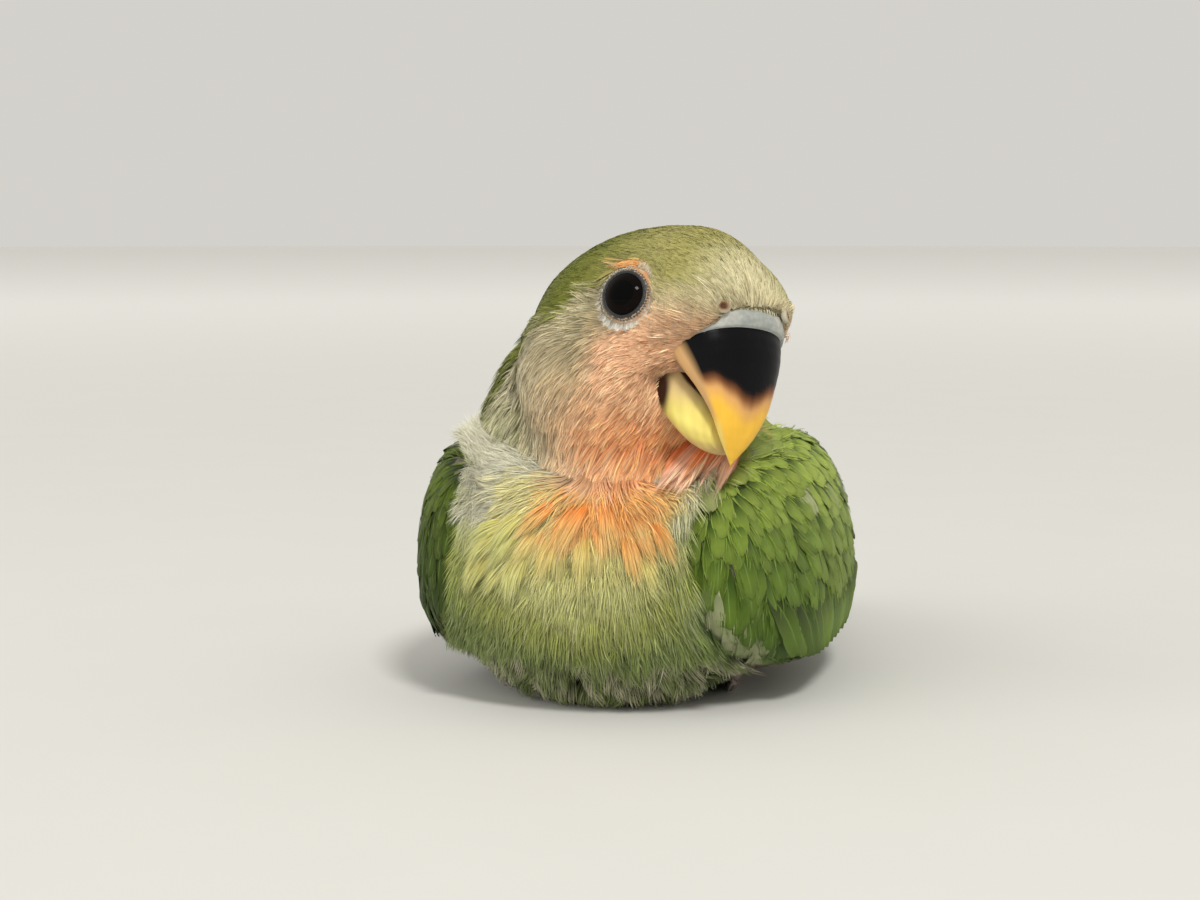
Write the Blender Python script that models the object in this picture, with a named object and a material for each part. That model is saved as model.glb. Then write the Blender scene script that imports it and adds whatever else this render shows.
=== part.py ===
"""A fledgling peach faced lovebird, life size, squatting on its belly with its head turned to its left.

The trunk faces -Y and the bird's own left is +X. The floor is Z = 0 and the origin is the middle of the belly's
flat. Sizes below are in millimetres and are turned into metres where the meshes are made. The outline of every
piece reaches to the tips of the plumage.
"""

import math

import bmesh
import bpy
import numpy as np
from mathutils import Vector

MM = 0.001
GAP = 0.3  # clearance between neighbouring solids

# Pose of the head, held by one empty. Inside it the bill points to -Y and the crown to +Z.
HEAD_AT = (10.5, -23.6, 43.0)
HEAD_TURN = math.radians(60)
HEAD_ROLL = math.radians(8)
HEAD_NOD = math.radians(3)

# Trunk, from breast to rump: y, half width, bottom, top. The first and last rows are round ends.
TRUNK_ROWS = [
    (-35.0, 0.0, 17.0, 17.0),
    (-31.5, 12.0, 6.5, 27.0),
    (-24.0, 19.5, 1.2, 33.0),
    (-12.0, 22.5, -0.8, 36.0),
    (2.0, 22.5, -0.8, 36.0),
    (15.0, 19.0, -0.4, 32.0),
    (26.0, 13.0, 2.5, 25.5),
    (33.0, 7.5, 6.0, 19.5),
    (36.5, 0.0, 13.0, 13.0),
]
TRUNK_WIDEST = 0.44  # height of the widest level, as a share of the section's height

# Head, from nape to forehead, in the head's own frame: y, half width, bottom, top.
HEAD_ROWS = [
    (19.5, 0.0, -3.0, -3.0),
    (17.5, 7.5, -11.0, 4.0),
    (12.0, 11.6, -16.0, 9.2),
    (4.0, 12.8, -17.4, 12.4),
    (-1.8, 12.6, -12.2, 12.9),
    (-5.0, 12.0, -5.8, 12.3),
    (-7.8, 10.4, -1.6, 10.9),
    (-10.0, 8.0, 0.8, 9.0),
    (-11.2, 5.0, 2.4, 7.0),
    (-11.7, 0.0, 4.6, 4.6),
]
HEAD_WIDEST = 0.42

EYE_RADIUS = 3.6
EYE_AT = (9.2, -1.4, 3.8)  # left eye, in the head's frame

# Upper bill, from inside the face to the hook: ridge forward, ridge up, edge forward, edge up, half width.
BILL_UPPER_ROWS = [
    (9.6, 2.3, 4.0, -0.4, 4.2),
    (12.2, 2.9, 5.5, -0.9, 5.4),
    (13.9, 0.3, 7.3, -3.3, 4.9),
    (14.4, -3.4, 8.7, -5.1, 4.3),
    (13.9, -7.0, 10.2, -7.4, 3.4),
    (12.8, -10.2, 10.7, -10.0, 2.1),
    (11.2, -13.0, 10.9, -12.7, 0.0),
]
# Lower bill, from inside the throat to its chisel edge: forward, bottom, top, half width.
BILL_LOWER_ROWS = [
    (1.0, -6.8, -2.0, 4.0),
    (3.2, -8.8, -2.6, 4.4),
    (6.0, -11.2, -4.2, 4.2),
    (8.4, -12.0, -6.6, 3.5),
    (10.0, -11.6, -8.8, 2.7),
]
# Cere, a swollen band between the forehead and the upper bill, in the same terms as the upper bill.
CERE_ROWS = [
    (9.8, 4.9, 4.2, 0.8, 5.5),
    (11.6, 4.6, 4.6, 0.2, 6.2),
    (12.9, 3.4, 5.5, -0.9, 6.1),
    (13.1, 2.5, 6.0, -1.6, 5.8),
]

# Neck, from inside the trunk to inside the head: x, y, z, half width, half depth.
NECK_ROWS = [
    (0.0, -10.0, 20.0, 19.0, 14.0),
    (0.0, -12.5, 27.0, 19.2, 15.0),
    (0.6, -14.5, 33.0, 17.3, 14.5),
    (1.6, -16.0, 38.5, 14.6, 13.5),
    (3.2, -17.6, 44.0, 10.8, 11.0),
    (5.0, -19.0, 49.0, 6.0, 7.0),
]

# Left wing, from its bend to its tip: y, x, z, half height, half thickness, lean of its top towards the back.
WING_ROWS = [
    (-31.0, 12.8, 18.6, 0.0, 0.0, 3),
    (-28.0, 15.0, 18.0, 8.8, 4.8, 3),
    (-16.0, 18.1, 17.9, 13.6, 7.2, 4),
    (-1.0, 18.5, 17.8, 13.9, 7.2, 6),
    (13.0, 16.5, 17.6, 12.4, 6.6, 13),
    (27.0, 12.4, 16.6, 9.4, 4.4, 26),
    (39.0, 8.4, 13.6, 5.6, 2.2, 38),
    (48.0, 5.8, 10.8, 2.4, 1.0, 44),
    (51.0, 5.0, 10.0, 0.0, 0.0, 46),
]

# Tail, from inside the rump to its tip: distance, half width, half thickness, height, sideways.
TAIL_ROWS = [
    (24.0, 5.0, 3.6, 10.5, 0.0),
    (34.0, 8.0, 2.8, 8.0, 0.4),
    (46.0, 9.2, 1.5, 5.2, 1.4),
    (55.0, 9.0, 0.9, 3.4, 2.5),
    (60.5, 7.0, 0.7, 2.5, 3.2),
    (63.0, 3.4, 0.6, 2.2, 3.6),
]

# Left leg, a feathered lobe from the knee to the heel: x, y, z, radius.
LEG_ROWS = [
    (15.6, -6.0, 9.6, 0.0),
    (15.4, -4.0, 9.4, 3.6),
    (14.8, 2.0, 8.8, 5.4),
    (13.4, 10.0, 7.4, 4.2),
    (12.2, 16.0, 5.8, 2.4),
    (11.9, 18.0, 5.4, 0.0),
]
# Left foot: the shank lies on the floor, and two toes point forwards and two back.
HEEL_AT = (11.8, 17.0)
HUB_AT = (11.0, 2.0)
SHANK_RADIUS = 1.6
TOE_RADII = (1.45, 1.2, 0.95)
# Each toe: direction from straight ahead towards the outside in degrees, its length, the bend along it.
TOES = {
    "toe_inner": (-14, 10.5, -4),
    "toe_middle": (8, 12.5, 4),
    "toe_outer": (157, 11.0, 4),
    "toe_hind": (-158, 8.0, -4),
}
CLAW_LENGTH = 4.2
CLAW_RADIUS = 0.72
# Hollow over the left foot: its middle, its half sizes, and its size at each height as a share of those.
FOOT_BAY_AT = (12.2, 2.0)
FOOT_BAY_HALF = (9.6, 20.5)
FOOT_BAY_HEIGHTS = ((-2.0, 1.0), (2.2, 1.0), (3.2, 0.9), (3.7, 0.7))

COLOURS = {
    "plumage_green": ((0.13, 0.20, 0.035), 0.75),
    "plumage_breast": ((0.45, 0.42, 0.15), 0.80),
    "plumage_face": ((0.62, 0.40, 0.20), 0.80),
    "bill_horn": ((0.50, 0.32, 0.10), 0.35),
    "cere_skin": ((0.47, 0.50, 0.41), 0.60),
    "eye_dark": ((0.012, 0.008, 0.006), 0.05),
    "foot_skin": ((0.33, 0.25, 0.22), 0.60),
    "claw_horn": ((0.10, 0.08, 0.07), 0.40),
}


def clear_scene():
    for old in list(bpy.data.objects):
        bpy.data.objects.remove(old, do_unlink=True)


def new_collection(name, is_helper):
    made = bpy.data.collections.new(name)
    made.hide_render = is_helper
    bpy.context.scene.collection.children.link(made)
    return made


def material(node, slot):
    """A material of the node's own, in one of the named colours."""
    colour, roughness = COLOURS[slot]
    made = bpy.data.materials.new(f"{node}_{slot}")
    made.use_nodes = True
    shader = made.node_tree.nodes["Principled BSDF"]
    shader.inputs["Base Color"].default_value = (*colour, 1.0)
    shader.inputs["Roughness"].default_value = roughness
    return made


def spline_rows(rows, count, round_start, round_end, flip=None):
    """Rows along a smooth curve through the given rows.

    A round end starts from a row of no size. The row before it is the next one mirrored, which flip makes, so that
    the surface leaves the end at a right angle.
    """
    rows = np.array(rows, float)
    flip = flip or (lambda row: row)
    before = flip(rows[1]) if round_start else 2 * rows[0] - rows[1]
    after = flip(rows[-2]) if round_end else 2 * rows[-1] - rows[-2]
    padded = np.vstack([before, rows, after])
    along = np.linspace(0, len(rows) - 1, count)
    index = np.minimum(along.astype(int), len(rows) - 2)
    share = (along - index)[:, None]
    a, b, c, d = (padded[index + k] for k in range(4))
    linear = (c - a) * share
    square = (2 * a - 5 * b + 4 * c - d) * share**2
    cube = (3 * b - a - 3 * c + d) * share**3
    return 0.5 * (2 * b + linear + square + cube)


def flipped_section(row):
    """y, half width, bottom and top, mirrored through a round end."""
    return np.array([row[0], -row[1], row[3], row[2]])


def oval(centre, across, up, half, above, below, power, count):
    """A closed ring of points, wider than an ellipse where power is over 2."""
    angle = np.linspace(0, 2 * math.pi, count, endpoint=False)
    across, up = np.asarray(across, float), np.asarray(up, float)
    side = np.sign(np.cos(angle)) * np.abs(np.cos(angle)) ** (2 / power)
    rise = np.sign(np.sin(angle)) * np.abs(np.sin(angle)) ** (2 / power)
    reach = np.where(rise > 0, above, below) * rise
    return np.asarray(centre, float) + np.outer(side * half, across) + np.outer(reach, up)


def mesh_of(rings):
    """A closed mesh through rings of points. A ring of one point closes to it, and any other end is capped."""
    built = bmesh.new()
    rows = [[built.verts.new(Vector(point) * MM) for point in np.atleast_2d(ring)] for ring in rings]
    for first, second in zip(rows, rows[1:]):
        count = max(len(first), len(second))
        for i in range(count):
            j = (i + 1) % count
            corners = [first[i % len(first)], first[j % len(first)], second[j % len(second)], second[i % len(second)]]
            built.faces.new(list(dict.fromkeys(corners)))
    for ring in (rows[0], rows[-1]):
        if len(ring) > 2:
            built.faces.new(ring)
    bmesh.ops.triangulate(built, faces=[face for face in built.faces if len(face.verts) > 3])
    bmesh.ops.recalc_face_normals(built, faces=built.faces)
    mesh = bpy.data.meshes.new("shape")
    built.to_mesh(mesh)
    built.free()
    if signed_volume(mesh) < 0:
        mesh.flip_normals()
    return mesh


def signed_volume(mesh):
    total = 0.0
    for polygon in mesh.polygons:
        a, b, c = (mesh.vertices[i].co for i in polygon.vertices)
        total += a.dot(b.cross(c))
    return total


def place(name, mesh, parent=None, slot=None):
    """A node of the bird when it has a slot, and otherwise a cutter."""
    made = bpy.data.objects.new(name, mesh)
    made.parent = parent
    if slot:
        mesh.materials.append(material(name, slot))
        BIRD.objects.link(made)
    else:
        made.hide_render = True
        made.display_type = "WIRE"
        CUTTERS.objects.link(made)
    return made


def boolean(target, others, operation="DIFFERENCE"):
    for other in others:
        modifier = target.modifiers.new(f"{operation.lower()} {other.name}", "BOOLEAN")
        modifier.operation = operation
        modifier.solver = "EXACT"
        modifier.object = other


def stretched(values, grow):
    """Positions along a piece, with both ends moved out by grow."""
    middle = (values.min() + values.max()) / 2
    reach = (values.max() - values.min()) / 2
    return middle + (values - middle) * (1 + grow / reach)


def section_rings(rows, rings, points, widest, power, grow=0.0, floor=None):
    """Rings across Y through rows of y, half width, bottom and top, with a round point at each end."""
    rows = spline_rows(rows, rings, True, True, flipped_section)
    rows[:, 0] = stretched(rows[:, 0], grow)
    made = []
    for i, (y, half, bottom, top) in enumerate(rows):
        level = bottom + widest * (top - bottom)
        if i in (0, rings - 1):
            made.append(np.array([[0, y, level]]))
            continue
        above, below = top - level + grow, level - bottom + grow
        points_here = oval((0, y, level), (1, 0, 0), (0, 0, 1), half + grow, above, below, power, points)
        if floor is not None:
            points_here[:, 2] = np.maximum(points_here[:, 2], floor)
        made.append(points_here)
    return made


def bill_rings(rows, rings, points, grow=0.0, round_end=True, grow_ends=0.0):
    """Rings of the upper bill: each runs from the ridge down to the cutting edge, and is widest near the edge."""
    rows = spline_rows(rows, rings, False, False)
    made = []
    for i, (ridge_y, ridge_z, edge_y, edge_z, half) in enumerate(rows):
        ridge = np.array([0, -ridge_y, ridge_z])
        edge = np.array([0, -edge_y, edge_z])
        if round_end and i == rings - 1:
            made.append(np.array([ridge * 0.5 + edge * 0.5]))
            continue
        length = np.linalg.norm(ridge - edge)
        up = (ridge - edge) / length
        level = edge + (ridge - edge) * 0.26
        made.append(
            oval(level, (1, 0, 0), up, half + grow, length * 0.74 + grow, length * 0.26 + grow, 2.25, points)
        )
    if grow_ends:
        made[0] = made[0] + (made[0].mean(axis=0) - made[1].mean(axis=0)) * grow_ends
    return made


def lower_bill_rings(rings, points, grow=0.0):
    rows = spline_rows(BILL_LOWER_ROWS, rings, False, False)
    made = []
    for forward, bottom, top, half in rows:
        level = bottom + 0.62 * (top - bottom)
        made.append(
            oval(
                (0, -forward, level),
                (1, 0, 0),
                (0, 0, 1),
                half + grow,
                top - level + grow,
                level - bottom + grow,
                2.3,
                points,
            )
        )
    made[-1] = made[-1] + np.array([0, -grow, 0])
    return made


def path_rings(rows, rings, points, round_start, round_end, grow=0.0, floor=None, steady=(0, 0, 1.0)):
    """Rings round a bent path of x, y, z and one or two radii. The first radius lies across the steady direction."""
    rows = np.array(rows, float)
    if rows.shape[1] == 4:
        rows = np.column_stack([rows, rows[:, 3]])
    flip = lambda row: np.concatenate([row[:3], -row[3:]])
    rows = spline_rows(rows, rings, round_start, round_end, flip)
    centres = rows[:, :3]
    ahead = np.gradient(centres, axis=0)
    ahead[0] = centres[1] - centres[0]
    ahead[-1] = centres[-1] - centres[-2]
    ahead /= np.linalg.norm(ahead, axis=1)[:, None]
    centres[0] -= ahead[0] * grow
    centres[-1] += ahead[-1] * grow
    made = []
    for i, (centre, forward) in enumerate(zip(centres, ahead)):
        if (round_start and i == 0) or (round_end and i == rings - 1):
            made.append(np.array([centre]))
            continue
        across = np.cross(forward, steady)
        across /= np.linalg.norm(across)
        up = np.cross(across, forward)
        half, deep = rows[i, 3] + grow, rows[i, 4] + grow
        ring = oval(centre, across, up, half, deep, deep, 2.0, points)
        if floor is not None:
            ring[:, 2] = np.maximum(ring[:, 2], floor)
        made.append(ring)
    return made


def neck_rings(grow=0.0):
    return path_rings(NECK_ROWS, 8, 20, False, False, grow=grow, steady=(0, -1.0, 0))


def wing_rings(side, rings, points, grow=0.0):
    """Rings across the folded wing. side is 1 for the bird's left and -1 for its right."""
    flip = lambda row: np.concatenate([row[:3], -row[3:5], row[5:]])
    rows = spline_rows(WING_ROWS, rings, True, True, flip)
    rows[:, 0] = stretched(rows[:, 0], grow)
    made = []
    for i, (y, x, z, half, thick, lean) in enumerate(rows):
        if i in (0, rings - 1):
            made.append(np.array([[side * x, y, z]]))
            continue
        lean = math.radians(lean)
        up = (-side * math.sin(lean), 0, math.cos(lean))
        across = (side * math.cos(lean), 0, math.sin(lean))
        made.append(oval((side * x, y, z), across, up, thick + grow, half + grow, half + grow, 2.2, points))
    return made


def tail_rings(rings, points, grow=0.0):
    rows = spline_rows(TAIL_ROWS, rings, False, False)
    made = []
    for y, half, thick, z, x in rows:
        made.append(oval((x, y, z), (1, 0, 0), (0, 0, 1), half + grow, thick + grow, thick + grow, 2.4, points))
    return made


def bent_line(start, degrees, length, bend, count):
    """Points and headings on the floor, from start along a direction that turns by bend on the way."""
    points = [np.array(start, float)]
    headings = []
    step = length / (count - 1)
    for i in range(count):
        angle = math.radians(degrees + bend * i / (count - 1))
        heading = np.array([math.sin(angle), -math.cos(angle)])
        headings.append(heading)
        if i < count - 1:
            points.append(points[-1] + heading * step)
    return np.array(points), np.array(headings)


def add_foot(side):
    """The shank and four toes as one body on small flats, and one claw for each toe."""
    word = "left" if side > 0 else "right"
    shank_path = [
        (side * HEEL_AT[0], HEEL_AT[1] + 1.6, 1.7, 0.0),
        (side * HEEL_AT[0], HEEL_AT[1], 1.75, SHANK_RADIUS),
        (side * HEEL_AT[0], HEEL_AT[1] - 6, 1.55, SHANK_RADIUS * 0.84),
        (side * HUB_AT[0], HUB_AT[1] + 3, 1.55, SHANK_RADIUS * 0.88),
        (side * HUB_AT[0], HUB_AT[1], 1.7, SHANK_RADIUS * 1.15),
        (side * HUB_AT[0], HUB_AT[1] - 2.2, 1.5, 0.0),
    ]
    foot = place(
        f"foot_{word}", mesh_of(path_rings(shank_path, 10, 8, True, True, floor=0.0)), slot="foot_skin"
    )
    for toe, (degrees, length, bend) in TOES.items():
        points, headings = bent_line((0, 0), degrees, length, bend, 5)
        points = points * (side, 1) + (side * HUB_AT[0], HUB_AT[1])
        headings = headings * (side, 1)
        radii = np.interp(np.linspace(0, 1, 5), (0, 0.5, 1), TOE_RADII)
        heights = radii * 0.94
        heights[0] = 1.5
        path = np.column_stack([points, heights, radii])
        start = np.append(points[0] - headings[0] * 0.9, 1.5)
        tip = np.append(points[-1] + headings[-1] * radii[-1] * 0.9, heights[-1])
        path = [(*start, 0.0), *path, (*tip, 0.0)]
        cutter = place(f"{toe}_{word} joiner", mesh_of(path_rings(path, 9, 6, True, True, floor=0.0)))
        boolean(foot, [cutter], "UNION")
        add_claw(f"claw_{toe[4:]}_{word}", tip, headings[-1])


def add_claw(name, toe_tip, heading):
    """A curved, pointed claw a gap ahead of the toe, with its point near the floor."""
    ahead = np.append(heading, 0.0)
    base = toe_tip + ahead * GAP * 1.3
    rows = []
    for share in (0.0, 0.3, 0.6, 0.85, 1.0):
        rise = 0.55 * math.sin(share * math.pi * 0.8) - 0.35 * share**2
        centre = base + ahead * CLAW_LENGTH * share + np.array([0, 0, rise])
        rows.append((*centre, CLAW_RADIUS * (1 - share) ** 0.75))
    place(name, mesh_of(path_rings(rows, 6, 6, False, True, floor=0.0)), slot="claw_horn")


def bay_rings(side):
    x, y = side * FOOT_BAY_AT[0], FOOT_BAY_AT[1]
    wide, long = FOOT_BAY_HALF
    made = []
    for height, share in FOOT_BAY_HEIGHTS:
        half, reach = wide * share, long * share
        made.append(oval((x, y, height), (1, 0, 0), (0, 1, 0), half, reach, reach, 3.0, 24))
    return made


def ball(radius, segments, rings):
    built = bmesh.new()
    bmesh.ops.create_uvsphere(built, u_segments=segments, v_segments=rings, radius=radius * MM)
    mesh = bpy.data.meshes.new("ball")
    built.to_mesh(mesh)
    built.free()
    return mesh


clear_scene()
BIRD = new_collection("peach_faced_lovebird", False)
CUTTERS = new_collection("cutters", True)

head_pose = bpy.data.objects.new("head_pose", None)
head_pose.location = Vector(HEAD_AT) * MM
head_pose.rotation_euler = (HEAD_NOD, HEAD_ROLL, HEAD_TURN)
BIRD.objects.link(head_pose)

# Head: skull, cheeks and ruff in one piece, with a socket for each eye and a seat for the bill.
head = place(
    "head", mesh_of(section_rings(HEAD_ROWS, 20, 24, HEAD_WIDEST, 2.1)), head_pose, "plumage_face"
)
head_room = place(
    "head room", mesh_of(section_rings(HEAD_ROWS, 20, 24, HEAD_WIDEST, 2.1, grow=GAP)), head_pose
)
for side, word in ((1, "left"), (-1, "right")):
    eye = place(f"eye_{word}", ball(EYE_RADIUS, 16, 10), head_pose, "eye_dark")
    socket = place(f"socket {word}", ball(EYE_RADIUS + GAP, 16, 10), head_pose)
    for made in (eye, socket):
        made.location = Vector((side * EYE_AT[0], EYE_AT[1], EYE_AT[2])) * MM
        made.rotation_euler = (0, math.radians(90), 0)
    boolean(head, [socket])

# Bill: the upper half hooks over the lower one, and the cere lies round its base.
bill_lower = place("bill_lower", mesh_of(lower_bill_rings(7, 16)), head_pose, "bill_horn")
lower_room = place("lower bill room", mesh_of(lower_bill_rings(7, 16, GAP)), head_pose)
bill_upper = place("bill_upper", mesh_of(bill_rings(BILL_UPPER_ROWS, 11, 18)), head_pose, "bill_horn")
upper_room = place("upper bill room", mesh_of(bill_rings(BILL_UPPER_ROWS, 11, 18, GAP)), head_pose)
cere = place(
    "cere", mesh_of(bill_rings(CERE_ROWS, 5, 20, round_end=False)), head_pose, "cere_skin"
)
cere_room = place("cere room", mesh_of(bill_rings(CERE_ROWS, 5, 20, GAP, False, grow_ends=0.4)), head_pose)
boolean(bill_lower, [head_room])
boolean(bill_upper, [head_room, lower_room])
boolean(cere, [upper_room, lower_room])
boolean(head, [cere_room])

# Neck: a short thick column between the head and the trunk.
neck = place("neck", mesh_of(neck_rings()), slot="plumage_breast")
neck_room = place("neck room", mesh_of(neck_rings(GAP)))
boolean(neck, [head_room])

# Trunk: breast, belly, back and rump, flat where the belly rests, with bays for the legs and feet.
trunk = place(
    "trunk", mesh_of(section_rings(TRUNK_ROWS, 20, 26, TRUNK_WIDEST, 2.15, floor=0.0)), slot="plumage_breast"
)
trunk_room = place("trunk room", mesh_of(section_rings(TRUNK_ROWS, 20, 26, TRUNK_WIDEST, 2.15, grow=GAP)))
boolean(trunk, [head_room, neck_room])

# Tail: a short flat fan of a young bird, just clear of the floor.
tail = place("tail", mesh_of(tail_rings(9, 16)), slot="plumage_green")
tail_room = place("tail room", mesh_of(tail_rings(9, 16, GAP)))
boolean(tail, [trunk_room])

for side, word in ((1, "left"), (-1, "right")):
    bay = place(f"foot bay {word}", mesh_of(bay_rings(side)))
    leg_rows = [(side * x, y, z, radius) for x, y, z, radius in LEG_ROWS]
    leg = place(f"leg_{word}", mesh_of(path_rings(leg_rows, 9, 12, True, True)), slot="plumage_green")
    leg_room = place(f"leg room {word}", mesh_of(path_rings(leg_rows, 9, 12, True, True, grow=GAP)))
    boolean(leg, [bay])
    boolean(trunk, [leg_room, bay])
    wing = place(f"wing_{word}", mesh_of(wing_rings(side, 17, 18)), slot="plumage_green")
    boolean(wing, [trunk_room, neck_room, head_room, leg_room, tail_room])
    add_foot(side)
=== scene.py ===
import math

import bmesh
import bpy
import numpy as np
from mathutils import Euler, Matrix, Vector
from mathutils.kdtree import KDTree


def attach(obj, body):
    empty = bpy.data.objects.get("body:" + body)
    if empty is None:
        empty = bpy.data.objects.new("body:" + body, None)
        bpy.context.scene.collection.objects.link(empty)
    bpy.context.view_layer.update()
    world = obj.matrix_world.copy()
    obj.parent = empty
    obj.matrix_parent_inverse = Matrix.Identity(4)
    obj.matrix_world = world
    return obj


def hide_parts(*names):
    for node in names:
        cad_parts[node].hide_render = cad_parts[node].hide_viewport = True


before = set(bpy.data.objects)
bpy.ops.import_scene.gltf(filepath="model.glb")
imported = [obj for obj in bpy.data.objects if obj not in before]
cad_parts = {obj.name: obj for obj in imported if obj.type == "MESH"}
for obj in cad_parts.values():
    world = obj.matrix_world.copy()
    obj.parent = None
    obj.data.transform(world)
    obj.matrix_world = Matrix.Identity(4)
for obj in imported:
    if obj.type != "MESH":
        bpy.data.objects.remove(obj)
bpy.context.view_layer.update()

# Sizes below are in millimetres, in the solids' own frame, and MM turns them into metres. The room's floor
# and lamps are in metres, and so are the distances in the shaders.
MM = 0.001

# Room
# A pale floor and sky, a bright lamp high in front on the bird's left, and a broad dim one on its right that
# leaves no highlight. The camera stands low, a little to the bird's left, far enough for the photo's framing.
VIEW_TARGET = Vector((0.0, -21.0, 30.0))
VIEW_AZIMUTH = math.radians(18)
VIEW_ELEVATION = math.radians(5.5)
VIEW_DISTANCE = 274.0
LENS = 70
FLOOR_TONE = (0.64, 0.635, 0.605)
FAR_TONE = (0.93, 0.925, 0.90)
SKY_TONE = (0.95, 0.925, 0.87)
SKY_STRENGTH = 0.69
FLOOR_RADIUS = 6.0
LAMPS_AIM = (0, -0.02, 0.03)


class Wire:
    """A node's output, so that Python's own sums on it add Math nodes."""

    def __init__(self, finish, socket):
        self.finish = finish
        self.socket = socket

    def sum(self, operation, *values):
        return self.finish.node("Math", {"operation": operation}, dict(enumerate(values)))

    def __add__(self, other):
        return self.sum("ADD", self, other)

    def __sub__(self, other):
        return self.sum("SUBTRACT", self, other)

    def __rsub__(self, other):
        return self.sum("SUBTRACT", other, self)

    def __mul__(self, other):
        return self.sum("MULTIPLY", self, other)

    __radd__ = __add__

    def __abs__(self):
        return self.sum("ABSOLUTE", self)

    def wave(self):
        return self.sum("SINE", self) * 0.5 + 0.5

    def rise(self, low, high):
        """0 below low and 1 above high, smooth between; high may be the lower number."""
        settings = {"interpolation_type": "SMOOTHSTEP"}
        return self.finish.node("MapRange", settings, {"Value": self, "From Min": low, "From Max": high})


class Finish:
    """A node material on one Principled shader, whose fixed values are set on its own sockets."""

    def __init__(self, name, **fixed):
        self.material = bpy.data.materials.new(name)
        self.material.use_nodes = True
        self.tree = self.material.node_tree
        self.shader = next(n for n in self.tree.nodes if n.type == "BSDF_PRINCIPLED")
        for socket, value in fixed.items():
            self.shader.inputs[socket.replace("_", " ")].default_value = value

    def node(self, kind, settings=None, sockets=None, output=0):
        made = self.tree.nodes.new("ShaderNode" + kind)
        for name, value in (settings or {}).items():
            setattr(made, name, value)
        for key, value in (sockets or {}).items():
            self.feed(made.inputs[key], value)
        return Wire(self, made.outputs[output])

    def feed(self, socket, value):
        if isinstance(value, Wire):
            self.tree.links.new(value.socket, socket)
        elif isinstance(value, tuple) and socket.type == "RGBA":
            socket.default_value = (*value, 1.0)
        else:
            socket.default_value = value

    def set(self, **wires):
        for socket, value in wires.items():
            self.feed(self.shader.inputs[socket.replace("_", " ")], value)

    def mix(self, share, first, second, way="MIX"):
        settings = {"data_type": "RGBA", "blend_type": way}
        return self.node("Mix", settings, {0: share, 6: first, 7: second}, output=2)

    def axis(self, place, letter):
        return self.node("SeparateXYZ", None, {0: place}, output="XYZ".index(letter))

    def place(self):
        """Where a point is on the object, in metres."""
        return self.node("TexCoord", output=3)

    def noise(self, scale, detail=2.0, stretch=None):
        where = self.place()
        if stretch:
            where = self.node("Mapping", None, {"Vector": where, "Scale": stretch})
        return self.node("TexNoise", None, {"Vector": where, "Scale": scale, "Detail": detail})

    def bump(self, height, distance):
        self.set(Normal=self.node("Bump", None, {"Height": height, "Distance": distance}))

    def tint(self):
        """The colour that the mesh carries at its points."""
        return self.node("Attribute", {"attribute_name": "tint"})

    def mottled(self, colour, pattern, dark, light):
        """The colour times dark where the pattern is 0, and times light where it is 1."""
        shade = self.mix(pattern, (dark, dark, dark), (light, light, light))
        return self.mix(1.0, colour, shade, "MULTIPLY")


def lamp(name, place, size, watts, tone, mirrored=True):
    """A round lamp aimed at the bird; one that isn't mirrored leaves no highlight on anything wet or waxy."""
    data = bpy.data.lights.new(name, "AREA")
    data.shape = "DISK"
    data.size = size
    data.energy = watts
    data.color = tone
    item = bpy.data.objects.new(name, data)
    item.location = place
    item.rotation_euler = (Vector(LAMPS_AIM) - Vector(place)).to_track_quat("-Z", "Y").to_euler()
    item.visible_glossy = mirrored
    bpy.context.collection.objects.link(item)


def make_room():
    floor_mesh = bpy.data.meshes.new("floor")
    shape = bmesh.new()
    bmesh.ops.create_circle(shape, cap_ends=True, radius=FLOOR_RADIUS, segments=64)
    shape.to_mesh(floor_mesh)
    shape.free()
    floor = bpy.data.objects.new("floor", floor_mesh)
    bpy.context.collection.objects.link(floor)
    finish = Finish("floor_paint", Roughness=0.9, Specular_IOR_Level=0.1)
    far = finish.node("VectorMath", {"operation": "LENGTH"}, {0: finish.place()}, output=1).rise(0.15, 1.6)
    near = finish.mix(finish.noise(40.0), FLOOR_TONE, tuple(c * 1.03 for c in FLOOR_TONE))
    finish.set(Base_Color=finish.mix(far, near, FAR_TONE))
    floor_mesh.materials.append(finish.material)

    sky = bpy.data.worlds.new("pale_sky")
    sky.use_nodes = True
    background = sky.node_tree.nodes["Background"]
    background.inputs["Color"].default_value = (*SKY_TONE, 1.0)
    background.inputs["Strength"].default_value = SKY_STRENGTH
    bpy.context.scene.world = sky
    bpy.context.scene.view_settings.view_transform = "Standard"

    lamp("key_lamp", (0.95, -1.45, 1.8), 0.5, 37.0, (1.0, 0.985, 0.96))
    lamp("fill_lamp", (-1.3, -1.9, 0.75), 3.0, 33.0, (1.0, 0.99, 0.98), mirrored=False)


def make_camera():
    data = bpy.data.cameras.new("camera")
    data.lens = LENS
    data.clip_start = 0.01
    data.clip_end = 30.0
    camera = bpy.data.objects.new("camera", data)
    level = math.cos(VIEW_ELEVATION)
    back = Vector(
        (math.sin(VIEW_AZIMUTH) * level, -math.cos(VIEW_AZIMUTH) * level, math.sin(VIEW_ELEVATION))
    )
    camera.location = (VIEW_TARGET + back * VIEW_DISTANCE) * MM
    camera.rotation_euler = (-back).to_track_quat("-Z", "Y").to_euler()
    bpy.context.collection.objects.link(camera)
    bpy.context.scene.camera = camera


make_room()
make_camera()

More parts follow.
